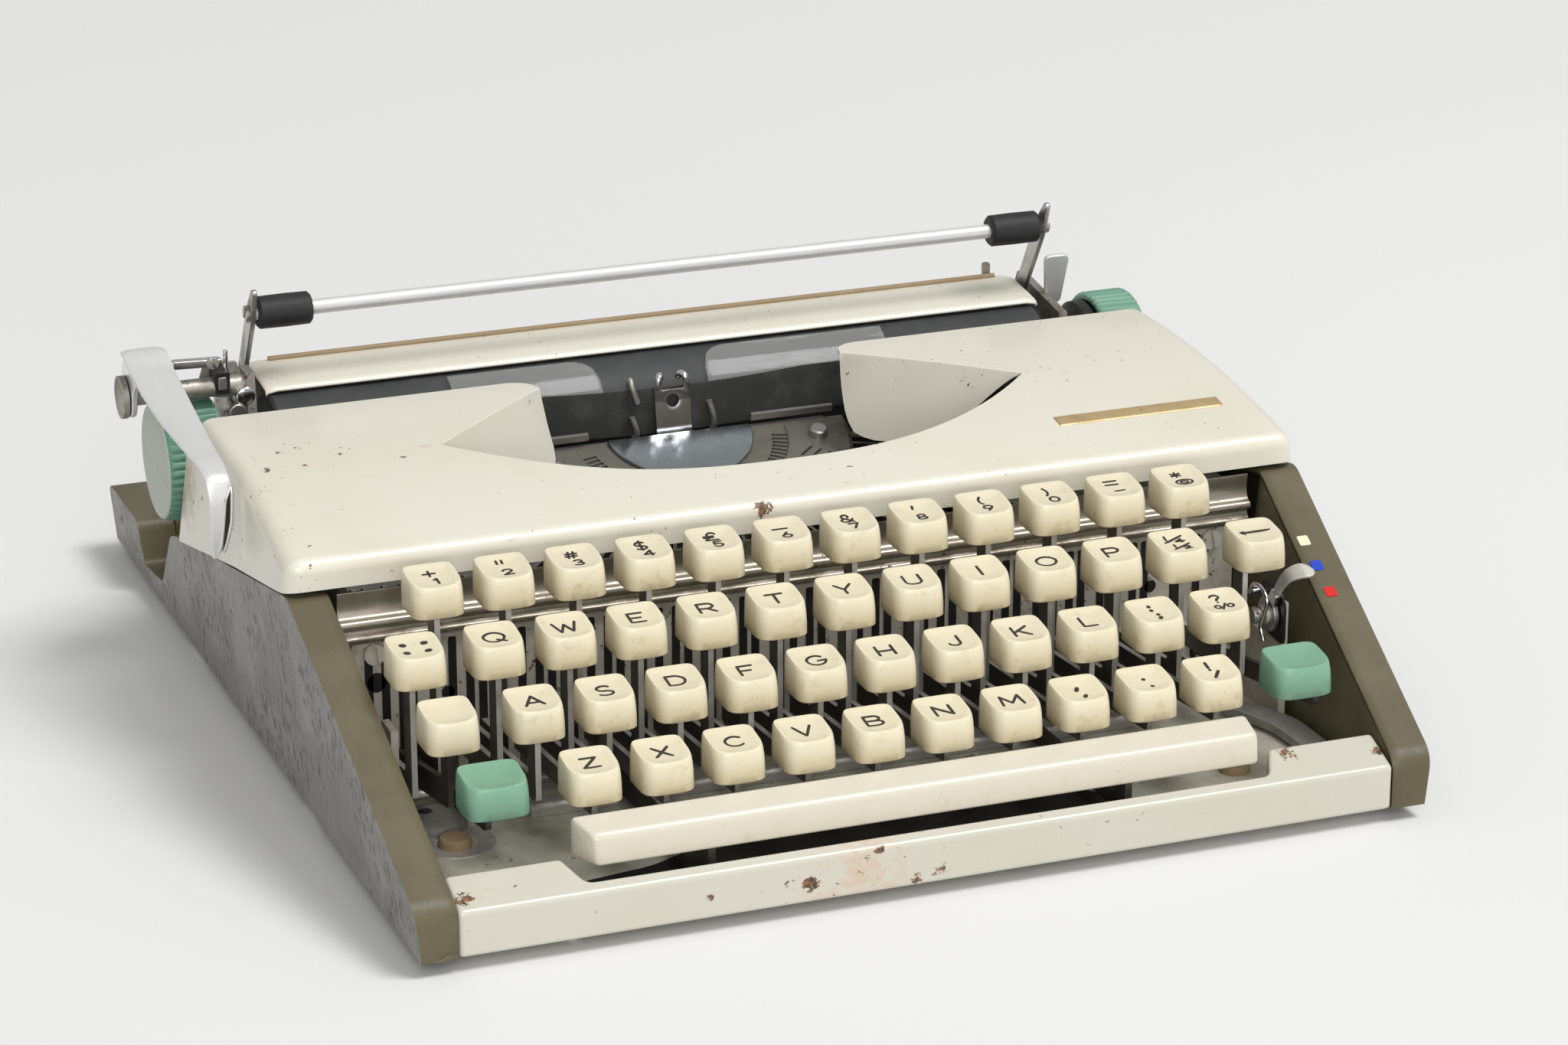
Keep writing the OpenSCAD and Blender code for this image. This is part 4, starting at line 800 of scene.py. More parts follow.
def legend(marks, x, y, top, width=14.0):
    # marks are (glyph, middle u, middle v, height, half stroke, widening): each glyph is centred on its place
    made = []
    for mark, u, v, high, half, wide in marks:
        lines = [g * [high * wide, high] for g in glyphs[mark]] if isinstance(mark, str) else mark
        every = np.vstack(lines)
        mid = (every.max(0) + every.min(0)) / 2 if isinstance(mark, str) else np.zeros(2)
        shift = np.array([u - mid[0], v - (high / 2 if isinstance(mark, str) else 0)])
        made += [part(stroke(g, *shift, x, y, top, width, half), "ink") for g in lines]
    return made


def dual(pair):
    # an upper and a lower mark; points are heavier and fractions wider
    upper, lower = keyForm["figure"]
    half = 0.58 if pair[0] in ",.:" else 0.46 if pair[0] == "!" else 0.34
    wide = 2.0 if pair[0] == "q" else keyForm["wide"]
    last = 1.9 if pair[1] in "%@" else wide
    return [(pair[0], -0.3, 2.4, upper, half, wide), (pair[1], 0.5, -1.7, lower, half, last)]


leverForm = {"pin": (204.8, 18.0), "knee": (91.0, 22.4), "front": (rowY[3], 29.8), "half": 3.0, "low": 26.8,
             "shaft": (150.0, 6.0)}


def leverMid(y):
    # middle height: straight from the front to the knee and from the knee to the pin
    (pinY, pinZ), (kneeY, kneeZ), (frontY, frontZ) = (leverForm[k] for k in ("pin", "knee", "front"))
    return np.interp(y, [frontY, kneeY, pinY], [frontZ, kneeZ, pinZ])


def blade(line, x):
    # a flat lever: its two sides are dark and the edge around them is painted bright as a painted highlight
    n = len(line)
    ends = np.vstack([spread(line, "x", x - 0.75), spread(line, "x", x + 0.75)])
    rim = grid(ends.reshape(2, n, 3), wrapV=True)
    return [part((ends, [list(range(n)), list(range(2 * n - 1, n - 1, -1))]), "lever"), part(rim, "edge")]


def leverShape(x, y, base):
    # flat bar from the pin to its knee and up to the front, with a stem up into the cap
    front, back, half = y - 3, y + 3, leverForm["half"]
    (endY, endZ), (kneeY, kneeZ) = leverForm["pin"], leverForm["knee"]
    line = rounded([(endY + 5, endZ - half), (endY + 5, endZ + half), (kneeY, kneeZ + half),
                    (back, min(leverMid(back) + half, base - 0.3)), (back, base + 1.5), (front, base + 1.5),
                    (front, leverMid(y) - half), (kneeY, kneeZ - half)], [2, 2, 4, 1, 0.2, 0.2, 1.5, 4], 3)
    return blade(line, x)


def keyParts(row, x, leverX, marks, look="ivory", width=14.0):
    # one key: cap, lever and legend at its row's place and height
    y, top = rowY[row], rowTop[row]
    cap = keyCap(x, y, top, width, look)
    lever = leverShape(leverX, y, top - keyForm["height"])
    return [cap] + lever + legend(marks, x, y, top, width)


letterRows = {1: "QWERTYUIOP", 2: "ASDFGHJKL", 3: "ZXCVBNM"}
for row, letters in letterRows.items():
    for i, letter in enumerate(letters):
        x = (rowStart[row] + i) * keyForm["pitch"]
        piece("key" + letter, "key_" + letter.lower(),
              keyParts(row, x, x, [(letter, 0, 0.3, keyForm["letter"], keyForm["stroke"], keyForm["wide"])]),
              ["key_" + letter.lower()])

figurePairs = ["+1", '"2', "#3", "$4", "\u00a35", "_6", "&7", "'8", "(9", ")0", "=-", "*@"]
figures = [(0, i, p) for i, p in enumerate(figurePairs)]
figures += [(1, 10, "qh"), (2, 9, ":;"), (2, 10, "?%"), (3, 7, ",,"), (3, 8, ".."), (3, 9, "!/")]
figureParts = []
for row, i, pair in figures:
    x = (rowStart[row] + i) * keyForm["pitch"]
    figureParts += keyParts(row, x, x, dual(pair))
piece("figureKeys", "figures", figureParts, ["figure_keys"])

fourDots = [d for u, v in ((-2.8, 2.0), (2.8, 2.0), (-2.8, -2.0), (2.8, -2.0)) for d in bar(u, v, u + .3, v)]
arrow = bar(-4.2, 0, 4.4, 0) + bar(-2.9, .8, -4.2, 0, -2.9, -.8)
endKeys = {"margin": (-119.7, -121.6), "back": (113.81, 109.82)}  # cap and lever
piece("marginReleaseKey", "margin_release", keyParts(1, *endKeys["margin"], [(fourDots, 0, 0.2, 1, 0.85, 1)]),
      ["margin_release_key"])
piece("backspaceKey", "backspace", keyParts(1, *endKeys["back"], [(arrow, 0, 0.6, 1, 0.3, 1)]),
      ["backspace_key"])


def shiftLever(x, y, base):
    # bar on the rear shaft that climbs over the front shaft to the stem
    rear, low = leverForm["shaft"]
    line = rounded([(rear + 4, low), (rear + 4, low + 6), (rear - 6, low + 6),
                    (y + 3, min(leverForm["low"] + 6, base - 0.3)), (y + 3, base + 1.5), (y - 3, base + 1.5),
                    (y - 3, leverForm["low"]), (rear - 4, low)], [2, 2, 3, 1, 0.2, 0.2, 1.5, 3], 4)
    return prism(line, "x", x - 0.75, x + 0.75)


shiftForm = {"shiftKeys": ((-110.39, -112.6), (110.39, 114.95)), "lock": (-116.47, -117.1), "width": 16.6,
             "shaft": (150, 9), "spaceShaft": (88, 9), "shaftHalf": 126, "shaftR": 1.8}


def shaftAt(place):
    # a plain rod across the body at (y, z)
    ends = [(x, *place) for x in (-shiftForm["shaftHalf"], shiftForm["shaftHalf"])]
    return part(tube(ends, shiftForm["shaftR"]), "steel")


shiftParts = [shaftAt(shiftForm["shaft"])]
for capX, leverX in shiftForm["shiftKeys"]:
    shiftParts.append(keyCap(capX, rowY[3], rowTop[3], shiftForm["width"], "mint"))
    # the shift levers are dark steel so they sink into the shade under the caps: painted shade
    shiftParts.append(part(shiftLever(leverX, rowY[3], rowTop[3] - keyForm["height"]), "dark"))
piece("shiftKeys", "shift", shiftParts, ["shift_keys"])
lockCap, lockLever = shiftForm["lock"]
# the lock lever is dark steel too, as painted shade
lockParts = [keyCap(lockCap, rowY[2], rowTop[2], keyForm["width"], "ivory"),
             part(shiftLever(lockLever, rowY[2], rowTop[2] - keyForm["height"]), "dark")]
piece("shiftLockKey", "shift_lock", lockParts, ["shift_lock_key"])

spaceForm = {"low": -89.5, "high": 91.5, "slant": 0.42, "arms": (-58.615, 55.385), "armHalf": 1,
             "section": [(6.8, 19.6), (7.6, 26.6), (8.6, 27.8), (15.6, 30.0), (16.2, 29.2), (16.2, 19.6)],
             "arm": [(8.8, 10.5), (8.8, 20.1), (14.8, 20.1), (14.8, 14), (91.5, 12), (91.5, 6.5), (82, 6.5)]}
section = rounded(spaceForm["section"], [0.8, 0.9, 0.9, 0.9, 0.9, 0.8], 6)
middle = section.mean(0)
endShare = np.array([0, 0.80, 0.93, 0.985, 1])
endIn = np.array([0, 0, 0.25, 0.8, 1.8])
barRings = middle + (section - middle)[None] * np.concatenate([endShare, endShare[::-1]])[:, None, None]
fromFront = barRings[:5, :, 0] - spaceForm["section"][0][0]
leftX = spaceForm["low"] - spaceForm["slant"] * fromFront + endIn[:, None]
rightX = np.broadcast_to(spaceForm["high"] - endIn[::-1, None], leftX.shape)
barPoints = np.concatenate([np.concatenate([leftX, rightX])[..., None], barRings], -1)
armLine = rounded(spaceForm["arm"], 1.5, 4)
# darker towards the bottom of the bar's section
barDarkShare = np.tile(np.clip((25 - section[:, 1]) / 8, 0, 0.8), 10)
spaceParts = [part(grid(barPoints, wrapV=True), "ivoryBar", barDarkShare)]
spaceParts += [part(prism(armLine, "x", x - spaceForm["armHalf"], x + spaceForm["armHalf"]), "dark")
               for x in spaceForm["arms"]]
spaceParts.append(shaftAt(shiftForm["spaceShaft"]))
piece("spaceBar", "space", spaceParts, ["space_bar"])
print("stage: keys")


# carriage: platen, knobs, paper table, bail, rollers, return lever, paper release

axis = (0, platen["y"], platen["z"])
left, right = platen["x"] - platen["half"], platen["x"] + platen["half"]
rollR, rollEdge = platen["r"], platen["edge"]
rollProfile = [(left, 0), (left, rollR - rollEdge), (left + rollEdge, rollR), (right - rollEdge, rollR),
               (right, rollR - rollEdge), (right, 0)]
roll = [part(lathe(rollProfile, axis, "x", 120), "platen"),
        part(tube([(x, *axis[1:]) for x in platen["shaft"]], platen["shaftR"], 32), "steel")]
piece("platenRoll", "platen_roll", roll, ["platen"])

# each end is its outer x, its side and its length
knobForm = {"ribs": 44, "rib": 0.045, "sides": 224, "long": 17.0,
            "ends": ((153.0, 1, 13.6), (-146.0, -1, 17.0))}
cup = [(3.0, 4.1, 0), (3.0, 7, 0), (13.4, 7, 0), (13.4, 14.0, 0), (0.6, 14.4, 0), (0, 15.0, 0), (0, 16.0, 1),
       (0.7, 16.6, 1)]
cupRim = [(0.7, 16.6, 1), (15.2, 16.6, 1), (15.9, 16.5, 0.3), (16.3, 16.3, 0)]
cupFace = [(16.3, 16.3, 0), (16.75, 15.9, 0), (16.9, 15.0, 0), (17.0, 8.0, 0), (17.0, 0, 0)]
knobParts = []
for outer, sign, long in knobForm["ends"]:
    # the right knob's rim takes the darker mint copy as painted shade
    for profile, look in ((cup, "mint"), (cupRim, "mintDark" if sign < 0 else "mintShade"), (cupFace, "pale")):
        shape = lathe(profile, (0, 0, 0), "x", knobForm["sides"], knobForm["rib"], knobForm["ribs"])
        pts = shape[0] * [sign * long / knobForm["long"], 1, 1] + [outer - sign * long, *axis[1:]]
        knobParts.append(part((pts, shape[1]), look))
piece("platenKnobs", "platen_roll", knobParts, ["platen_knobs"])

ratchetForm = {"x": (-125.5, -122.0), "r": 12.5, "tooth": 1.4, "steps": 120}
toothAngle = np.linspace(0, 2 * np.pi, ratchetForm["steps"], endpoint=False)
toothShare = np.abs(((np.arange(ratchetForm["steps"]) % 4) - 1) / 2.0)
tooth = ratchetForm["r"] - ratchetForm["tooth"] * toothShare
gear = np.stack([platen["y"] + tooth * np.cos(toothAngle), platen["z"] + tooth * np.sin(toothAngle)], 1)
piece("ratchetWheel", "platen_roll", [part(prism(gear, "x", *ratchetForm["x"]), "steel")],
      ["line_space_ratchet"])

tableForm = {"half": 118.0, "rim": (240.2, 81.5), "rimHalf": 112.0, "tabX": 114.0}
tableLine = curve([(220.9, 78.2), (221.5, 79.2), (224, 79.7), (232, 80.5), (240.4, 81.0), (245.2, 79.4),
                   (247.2, 75.8), (249.4, 55.0)], 40)
tableX = platen["x"] + tableForm["half"] * np.array([-1, -0.995, -0.97, -0.5, 0, 0.5, 0.97, 0.995, 1])
dip = np.array([1.2, 0.5, 0, 0, 0, 0, 0, 0.5, 1.2])
tablePoints = np.stack([spread(tableLine - [0, d], "x", x) for x, d in zip(tableX, dip)])
tableParts = [part(grid(tablePoints), "cream")]
piece("paperTable", "carriage", tableParts, ["paper_table"], 1.2, up=(0, -0.4, 1), rim=0.3)
rimLine = [(platen["x"] + tableForm["rimHalf"] * x, *tableForm["rim"]) for x in (-1, -0.5, 0, 0.5, 1)]
tabLine = [(tableForm["tabX"] + x, z) for x, z in ((-1.2, 79.5), (1.2, 79.5), (1.2, 85.4), (-1.2, 85.4))]
tab = prism(rounded(tabLine, 0.9, 4), "y", 241.2, 242.2)
piece("paperTableRim", "carriage", [part(tube(rimLine, 0.8), "brown"), part(tab, "steel")])

bailForm = {"pivot": (241.5, 72.6), "rod": (224.7, 100.6), "tip": (220.3, 108.4), "armX": 119.5}
pivot, rodAt, tipAt = (np.array(bailForm[k]) for k in ("pivot", "rod", "tip"))
along = (rodAt - pivot) / np.linalg.norm(rodAt - pivot)
side = np.array([-along[1], along[0]])
bailOutline = rounded([pivot - along * 4 - side * 3.4, pivot - along * 4 + side * 3.4,
                       pivot + along * 9 + side * 2.6, rodAt + side * 2.9, tipAt + side * 0.9,
                       tipAt - side * 0.9, rodAt - side * 2.9, pivot + along * 9 - side * 2.6],
                      [3, 3, 5, 4, 0.8, 0.8, 4, 5], 5)
bailParts = [part(tube([(platen["x"] - 119.6, *rodAt), (platen["x"] + 119.6, *rodAt)], 2.1, 24), "white")]
for s in (-1, 1):
    x = platen["x"] + s * bailForm["armX"]
    bailParts.append(part(prism(bailOutline, "x", min(x, x + s * 1.5), max(x, x + s * 1.5)), "steel"))
    bailParts.append(part(screw((x + s * 1.5, *rodAt), 2.4, "x", s, 30), "steel"))
piece("paperBail", "bail", bailParts, ["paper_bail"], bevel=0.25, segments=2, bend=50)

rollLine = np.array([(0, 2.2), (0, 3.9), (0.7, 4.6), (7.75, 4.7), (14.8, 4.6), (15.5, 3.9), (15.5, 2.2)])
rollers = [part(lathe(np.vstack([rollLine, rollLine[:1]]), (platen["x"] + x, *rodAt), "x", 40), "rubber")
           for x in (-118.8, 103.3)]
piece("bailRollers", "bail_rolls", rollers, ["bail_rollers"])

leverLine = curve([(219.8, 92.2), (219.2, 95.6), (215.7, 97.2), (205, 94.8), (190, 91.5), (175, 88.5),
                   (160, 86.0), (150.4, 84.4), (145.4, 82.4), (143.6, 78.0), (143.6, 70.0), (145.0, 60.3)], 80)
leverT = np.linspace(0, 1, 80)
leverEdges = {"at": [0, 0.03, 0.09, 0.28, 0.42, 0.56, 0.68, 0.80, 0.84, 0.965, 1],
              "left": [-152.4, -155.0, -156, -155.6, -154.6, -152.8, -151.2, -150.2, -150.0, -149.6, -148.8],
              "right": [-147.2, -144.6, -143.6, -143.6, -143.6, -143.7, -143.8, -143.9, -145.8, -147.0, -147.9]}
leverLeft, leverRight = (np.interp(leverT, leverEdges["at"], leverEdges[k]) for k in ("left", "right"))
acrossShare = np.linspace(0, 1, 11)[None]
leverX = leverLeft[:, None] + (leverRight - leverLeft)[:, None] * acrossShare
crownUp = 0.5 * (1 - (2 * acrossShare - 1) ** 4)
leverPoints = np.stack([leverX, np.broadcast_to(leverLine[:, :1], leverX.shape),
                        leverLine[:, 1:] + crownUp - 0.6], -1)
fold = slice(63, 79)
foldRight = np.interp(leverT, [0.79, 0.82, 0.9, 0.97, 1], [-143.9, -143.8, -144.2, -145.6, -147.0])[fold]
foldLine = np.stack([foldRight, leverLine[fold, 0] + 0.2, leverLine[fold, 1]], 1)
foldIn = np.stack([leverRight[fold], leverLine[fold, 0] + 0.9, leverLine[fold, 1]], 1)
# a dark sheet across the fold stands in for the shade in its channel: painted shade
foldSheet = grid(np.stack([foldIn, foldLine + [0, 1.6, 0]], 1))
earLine = rounded([(211, 85.5), (203, 92.4), (217, 94.6), (221.5, 92.4), (226, 82), (219, 76.2), (212.6, 78.6)],
                  2.5, 5)
leverParts = [part(prism(earLine, "x", -154.1, -152.5), "satin"), part(tube(foldLine, 0.55, 12), "chrome"),
              part(tube(foldIn - [0, 1.0, 0], 0.4, 10), "chrome"), part(foldSheet, "dark")]
piece("returnLever", "return_arm", [part(grid(leverPoints), "white")], ["return_lever"], 1.5,
      up=(0, -0.3, 1), rim=0.4)
piece("returnLeverEar", "return_arm", leverParts, bevel=0.3, segments=2, bend=50)

releaseForm = {"pivot": (239.8, 58.0), "lean": 21, "armX": (129.3, 130.9), "sheet": 1.4,
               "paddle": [(129.0, 18), (133.9, 18), (133.9, 35.8), (125.7, 35.8)], "round": [1, 1.5, 2.4, 2.4]}
release = np.array(releaseForm["pivot"])
lean = np.radians(releaseForm["lean"])
rise = np.array([-np.sin(lean), np.cos(lean)])
fore = np.array([-np.cos(lean), -np.sin(lean)])
arm = rounded([release - rise * 4 + fore * 4, release + rise * 20 + fore * 2.5,
               release + rise * 20 - fore * 2.5, release - rise * 4 - fore * 4], [4, 0.5, 0.5, 4], 5)
paddlePlan = rounded(releaseForm["paddle"], releaseForm["round"], 6)
paddleAt = release + fore * 2.5
paddle = np.stack([np.column_stack([paddlePlan[:, 0], *(paddleAt + paddlePlan[:, 1:] * rise - fore * d).T])
                   for d in (0, releaseForm["sheet"])])
pv, pf = grid(paddle, wrapV=True)
n = len(paddlePlan)
paddleShape = pv, pf + [list(range(n)), list(range(2 * n - 1, n - 1, -1))]
releaseParts = [part(prism(arm, "x", *releaseForm["armX"]), "satin"), part(paddleShape, "white")]
piece("paperRelease", "paper_release", releaseParts, ["paper_release_lever"], bevel=0.35,
      segments=2, bend=50)
print("stage: carriage")


# type basket, ribbon, spools and rods

basket = {"y": 196.8, "z": 60.0, "tilt": 16.0, "plate": 21.5}
halfTurn = np.radians(np.linspace(180, 360, 49))
halfRound = np.stack([np.cos(halfTurn), np.sin(halfTurn)], 1) * basket["plate"]
guidePlan = rounded(halfRound, 0.01, 2)[::2]
guide = prism(guidePlan + [0, basket["y"]], "z", basket["z"] - 0.7, basket["z"] + 0.5)
guideParts = [part(turned(guide, "x", basket["tilt"], (0, basket["y"], basket["z"])), "polish")]
piece("typeGuide", "basket", guideParts, ["type_guide"], bevel=0.4, segments=2, bend=50)

vib = {"front": 201.4, "low": 42.0, "high": 71.6, "half": 5.3, "hole": 68.4, "holeR": 1.9, "lean": 0.16}
around = np.linspace(0, 2 * np.pi, 96, endpoint=False)
square = np.stack([np.cos(around), np.sin(around)], 1)
room = np.where(square[:, 1] > 0, vib["high"] - vib["hole"], vib["hole"] - vib["low"])
reach = np.minimum(vib["half"] / np.maximum(np.abs(square[:, 0]), 1e-6),
                   room / np.maximum(np.abs(square[:, 1]), 1e-6))
plateRing = np.stack([square * vib["holeR"], square * np.minimum(reach, 3.2)[:, None], square * reach[:, None]])
platePoints = np.stack([plateRing[..., 0], vib["front"] + vib["lean"] * (np.minimum(plateRing[..., 1], 0)),
                        plateRing[..., 1] + vib["hole"]], -1)
piece("vibratorPlate", "vibrator", [part(grid(platePoints, wrapV=True), "chrome")],
      ["ribbon_vibrator"], 1.0, up=(0, -1, 0), rim=0.25)
hooks = [tube(curve([(s * 4.4, 201.9, 70.6), (s * 4.2, 201.9, 73.6), (s * 3.8, 202.4, 75.4),
                     (s * 3.0, 203.8, 75.4), (s * 2.6, 204.6, 74.2)], 18), 1.0, 12) for s in (-1, 1)]
piece("vibratorHooks", "vibrator", [part(h, "chrome") for h in hooks])

# the ribbon leaves each spool, runs straight behind the guides and sags a little in the middle
ribbonForm = {"spool": (89.1, 153.8), "half": 62, "y": 203.2, "low": 60.0, "wide": 13.5, "sag": 1.6,
              "sagHalf": 40, "steps": 63}
spoolX, spoolY = ribbonForm["spool"]
ribbonRun = np.linspace(-ribbonForm["half"], ribbonForm["half"], ribbonForm["steps"])
ribbonX = np.concatenate([[-spoolX], ribbonRun, [spoolX]])
ribbonYs = np.concatenate([[spoolY], np.full(ribbonForm["steps"], ribbonForm["y"]), [spoolY]])
sag = ribbonForm["sag"] * np.clip(1 - (ribbonX / ribbonForm["sagHalf"]) ** 2, 0, 1)
ribbonZ = ribbonForm["low"] + ribbonForm["wide"] * np.linspace(0, 1, 7)[None] - sag[:, None]
band = np.stack([np.broadcast_to(a[:, None], ribbonZ.shape) for a in (ribbonX, ribbonYs)] + [ribbonZ], -1)
piece("inkRibbonBand", "chassis", [part(grid(band), "ribbon")], ["ribbon"], 0.3, up=(0, -1, 0))

spoolForm = {"x": 102, "y": 151.8, "low": 58.5, "wound": [(1.2, 12.6), (1.2, 15.2), (15.3, 15.2), (15.3, 12.6)],
             "profile": [(0, 3.05), (0, 17.5), (0.5, 17.6), (1, 17.4), (1, 12.5), (15.5, 12.5), (15.5, 17.4),
                         (16, 17.6), (16.5, 17.4), (16.5, 9), (16.1, 8.5), (16.1, 5), (16.9, 4.5), (16.9, 3.05),
                         (0, 3.05)]}
for name, s in (("left", -1), ("right", 1)):
    spoolAt = (s * spoolForm["x"], spoolForm["y"], spoolForm["low"])
    spool = [part(lathe(spoolForm["profile"], spoolAt, "z", 72), "dark"),
             part(lathe(spoolForm["wound"], spoolAt, "z", 72), "ribbon")]
    piece(name + "Spool", name + "_spool", spool, [name + "_ribbon_spool"])

rodForm = {"half": 126, "rails": ((237.8, 40), (261.8, 40)), "railR": 3, "fulcrum": (204.8, 18),
           "fulcrumR": 2.5}
rods = [part(tube([(-rodForm["half"], *at), (rodForm["half"], *at)], rodForm["railR"], 28), "steel")
        for at in rodForm["rails"]]
piece("carriageRails", "chassis", rods, ["carriage_rails"])
fulcrum = [(x, *rodForm["fulcrum"]) for x in (-rodForm["half"], rodForm["half"])]
piece("fulcrumRod", "chassis", [part(tube(fulcrum, rodForm["fulcrumR"], 20), "steel")],
      ["key_fulcrum_rod"])
drumForm = {"centre": (-85, 300, 0),
            "profile": [(4, 0), (4, 2.95), (5.9, 2.95), (5.9, 13.4), (6.5, 14), (18.2, 14), (18.8, 13.4),
                        (18.8, 5), (18.2, 4), (18.2, 0)]}
drum = lathe(drumForm["profile"], drumForm["centre"], "z", 64)
piece("mainspringDrum", "mainspring", [part(drum, "brass")], ["mainspring_drum"])
print("stage: basket and ribbon")


# small fittings: comb face, screws, floor fittings, colour marks, selector, card holders, wires

combForm = {"half": 129.5,
            "profile": [(94.4, 65.5), (94.4, 59.6), (93.8, 58.6), (92.2, 57.6), (91.9, 56.6), (92.9, 55.6),
                        (94.2, 54.9), (93.6, 53.6), (92.8, 52.8), (93.2, 51.6), (95.0, 50.8)]}
rolled = curve(combForm["profile"], 60)
combX = np.linspace(-combForm["half"], combForm["half"], 9)
rolledFace = grid(np.stack([spread(rolled, "x", x) for x in combX]))
piece("combFace", "chassis", [part(rolledFace, "ledge")], solid=0.4, up=(0, -1, 0))
combScrews = [part(screw((x, 94.9, 47.6), 2.9, "y", -1, t), "comb") for x, t in ((-120.0, 8), (119.0, 10))]
# black discs stand in for the dark holes in the comb plate: painted shade
combHoles = [part(lathe([(-0.1, 0), (-0.1, r), (0.3, r + 0.4), (0.3, 0)], (x, 94.9, z), "y", 24), "black")
             for x, z, r in ((-119.5, 39.4, 2.6), (-100.3, 34.0, 1.7), (101.0, 36.0, 1.7))]
rowXs = [(rowStart[r] + np.arange(n)) * keyForm["pitch"] for r, n in enumerate((12, 11, 11, 10))]
otherXs = [k[1] for k in (*endKeys.values(), shiftForm["lock"], *shiftForm["shiftKeys"])]
# black strips on the comb's face stand in for the dark slots: painted shade
slitLine = rounded([(-1.1, 20), (1.1, 20), (1.1, 49.4), (-1.1, 49.4)], 0.5, 3)
slits = [part(prism(slitLine + [x, 0], "y", 94.8, 95.1), "black")
         for x in np.sort(np.concatenate(rowXs + [otherXs]))]
piece("combDetails", "chassis", combScrews + combHoles + slits)

railForm = {"spans": ((-86, -62), (-55, 52), (59, 86)),
            "line": [(70.6, 5.6), (70.6, 8.2), (71.6, 9.2), (74.6, 9.2), (75.6, 8.2), (75.6, 5.6)]}
rails = [part(prism(rounded(railForm["line"], 0.4, 3), "x", a, b), "edge") for a, b in railForm["spans"]]
armPath = [(110.5, 70.5), (113.6, 64.4), (118.4, 52.5), (119.6, 32), (127, 32), (126.4, 54.6), (119.2, 69.4)]
# turned fittings on the floor: profile, place, sides, look
turnedForm = [([(5.5, 0), (5.5, 8.6), (7.4, 8.4), (8.4, 7.4), (8.8, 5.0), (9.2, 4.0), (9.2, 0)],
               (-110.5, 75.8, 0), 48, "cast"),
              ([(9.15, 0), (9.15, 1.9), (9.35, 1.8), (9.35, 0)], (-112.6, 77.4, 0), 24, "black"),
              ([(5.5, 0), (5.5, 4.4), (7.6, 4.3), (8.2, 3.8), (8.2, 0)], (-109.5, 61.5, 0), 40, "tan"),
              ([(5.5, 5.6), (5.5, 10.4), (5.85, 10.2), (5.85, 5.8), (5.5, 5.6)], (-108.5, 63.5, 0), 56, "edge"),
              ([(5.5, 0), (5.5, 4.2), (7.2, 4.1), (7.8, 3.6), (7.8, 0)], (98.5, 34.5, 0), 40, "tan")]
floorParts = [part(prism(rounded(armPath, [3, 3, 4, 0.5, 0.5, 5, 3], 5), "z", 6.6, 9.0), "cast")]
floorParts += [part(lathe(profile, place, "z", sides), look) for profile, place, sides, look in turnedForm]
# a thin black sheet on the floor behind the front strip stands in for the dark gap there: painted shade
shadeOutline = rounded([(-88, 4.4), (88, 4.4), (84, 9), (66, 22), (56, 38), (-54, 38), (-66, 32), (-86, 29)],
               [1, 1, 1, 3, 4, 6, 4, 2], 4)
piece("floorShadeSheet", "chassis", [part(prism(shadeOutline, "z", 5.5, 5.64), "black")])
piece("floorFittings", "chassis", rails + floorParts, bevel=0.3, segments=2, bend=40)

# colour marks lie on the right flange, whose height is linear in y
dotForm = {"at": {"dotWhite": 68.6, "dotBlue": 60.5, "dotRed": 52.0}, "x": (132.5, 135.7), "half": 1.7,
           "proud": (-0.2, 0.25)}
(noseY, noseZ), (peakY, peakZ) = sideLine[1], sideLine[2]
slope = np.degrees(np.arctan2(peakZ - noseZ, peakY - noseY))
for look, y in dotForm["at"].items():
    zSurface = noseZ + (peakZ - noseZ) * y / peakY
    (lowX, highX), half = dotForm["x"], dotForm["half"]
    plan = rounded([(lowX, y - half), (highX, y - half), (highX, y + half), (lowX, y + half)], 0.5, 4)
    chip = prism(plan, "z", *(zSurface + np.array(dotForm["proud"])))
    piece(look, "chassis", [part(turned(chip, "x", slope, ((lowX + highX) / 2, y, zSurface)), look)])

selectForm = {"pivot": (64.41, 36.22), "arm": 8.5, "wide": [1.5, 1.6, 2.0, 2.5, 2.5],
              "tongue": [(122.0, 61.2, 42.2), (122.3, 58.9, 46.4), (123.8, 56.2, 50.2), (126.9, 54.9, 51.5),
                         (130.2, 54.1, 51.2)]}
hub = lathe([(0, 2.55), (0, 5), (1.6, 5), (1.6, 2.55), (0, 2.55)], (121.4, *selectForm["pivot"]), "x", 32)
armPlan = rounded([(-2, 3.6), (2, 3.6), (1.7, selectForm["arm"]), (-1.7, selectForm["arm"])], 0.6, 4)
selectArm = prism(armPlan + selectForm["pivot"], "x", 121.4, 122.8)
selectArm = turned(selectArm, "x", slope, (0, *selectForm["pivot"]))
tongueLine = curve(selectForm["tongue"], 26)
tongueT = np.linspace(0, 1, 26)
tongueEnd = np.sqrt(1 - 0.96 * np.clip((tongueT - 0.80) / 0.20, 0, 1) ** 2)
tongueHalf = np.interp(tongueT, np.linspace(0, 1, 5), selectForm["wide"]) * tongueEnd
slopeWay = np.array([0, np.cos(np.radians(slope)), np.sin(np.radians(slope))])
tongue = tongueLine[:, None] + (tongueHalf[:, None] * np.linspace(-1, 1, 5)[None])[..., None] * slopeWay
piece("ribbonSelector", "selector", [part(selectArm, "chrome"), part(hub, "steel")],
      ["ribbon_selector"], bevel=0.25, segments=2, bend=50)
piece("selectorTongue", "selector", [part(grid(tongue), "edge")], solid=0.9, up=(-0.5, 0, 1),
      rim=0.2)
bracketLine = rounded([(57.5, 29), (57.5, 41), (62, 44.5), (71.5, 43.5), (72.5, 30)], 2, 4)
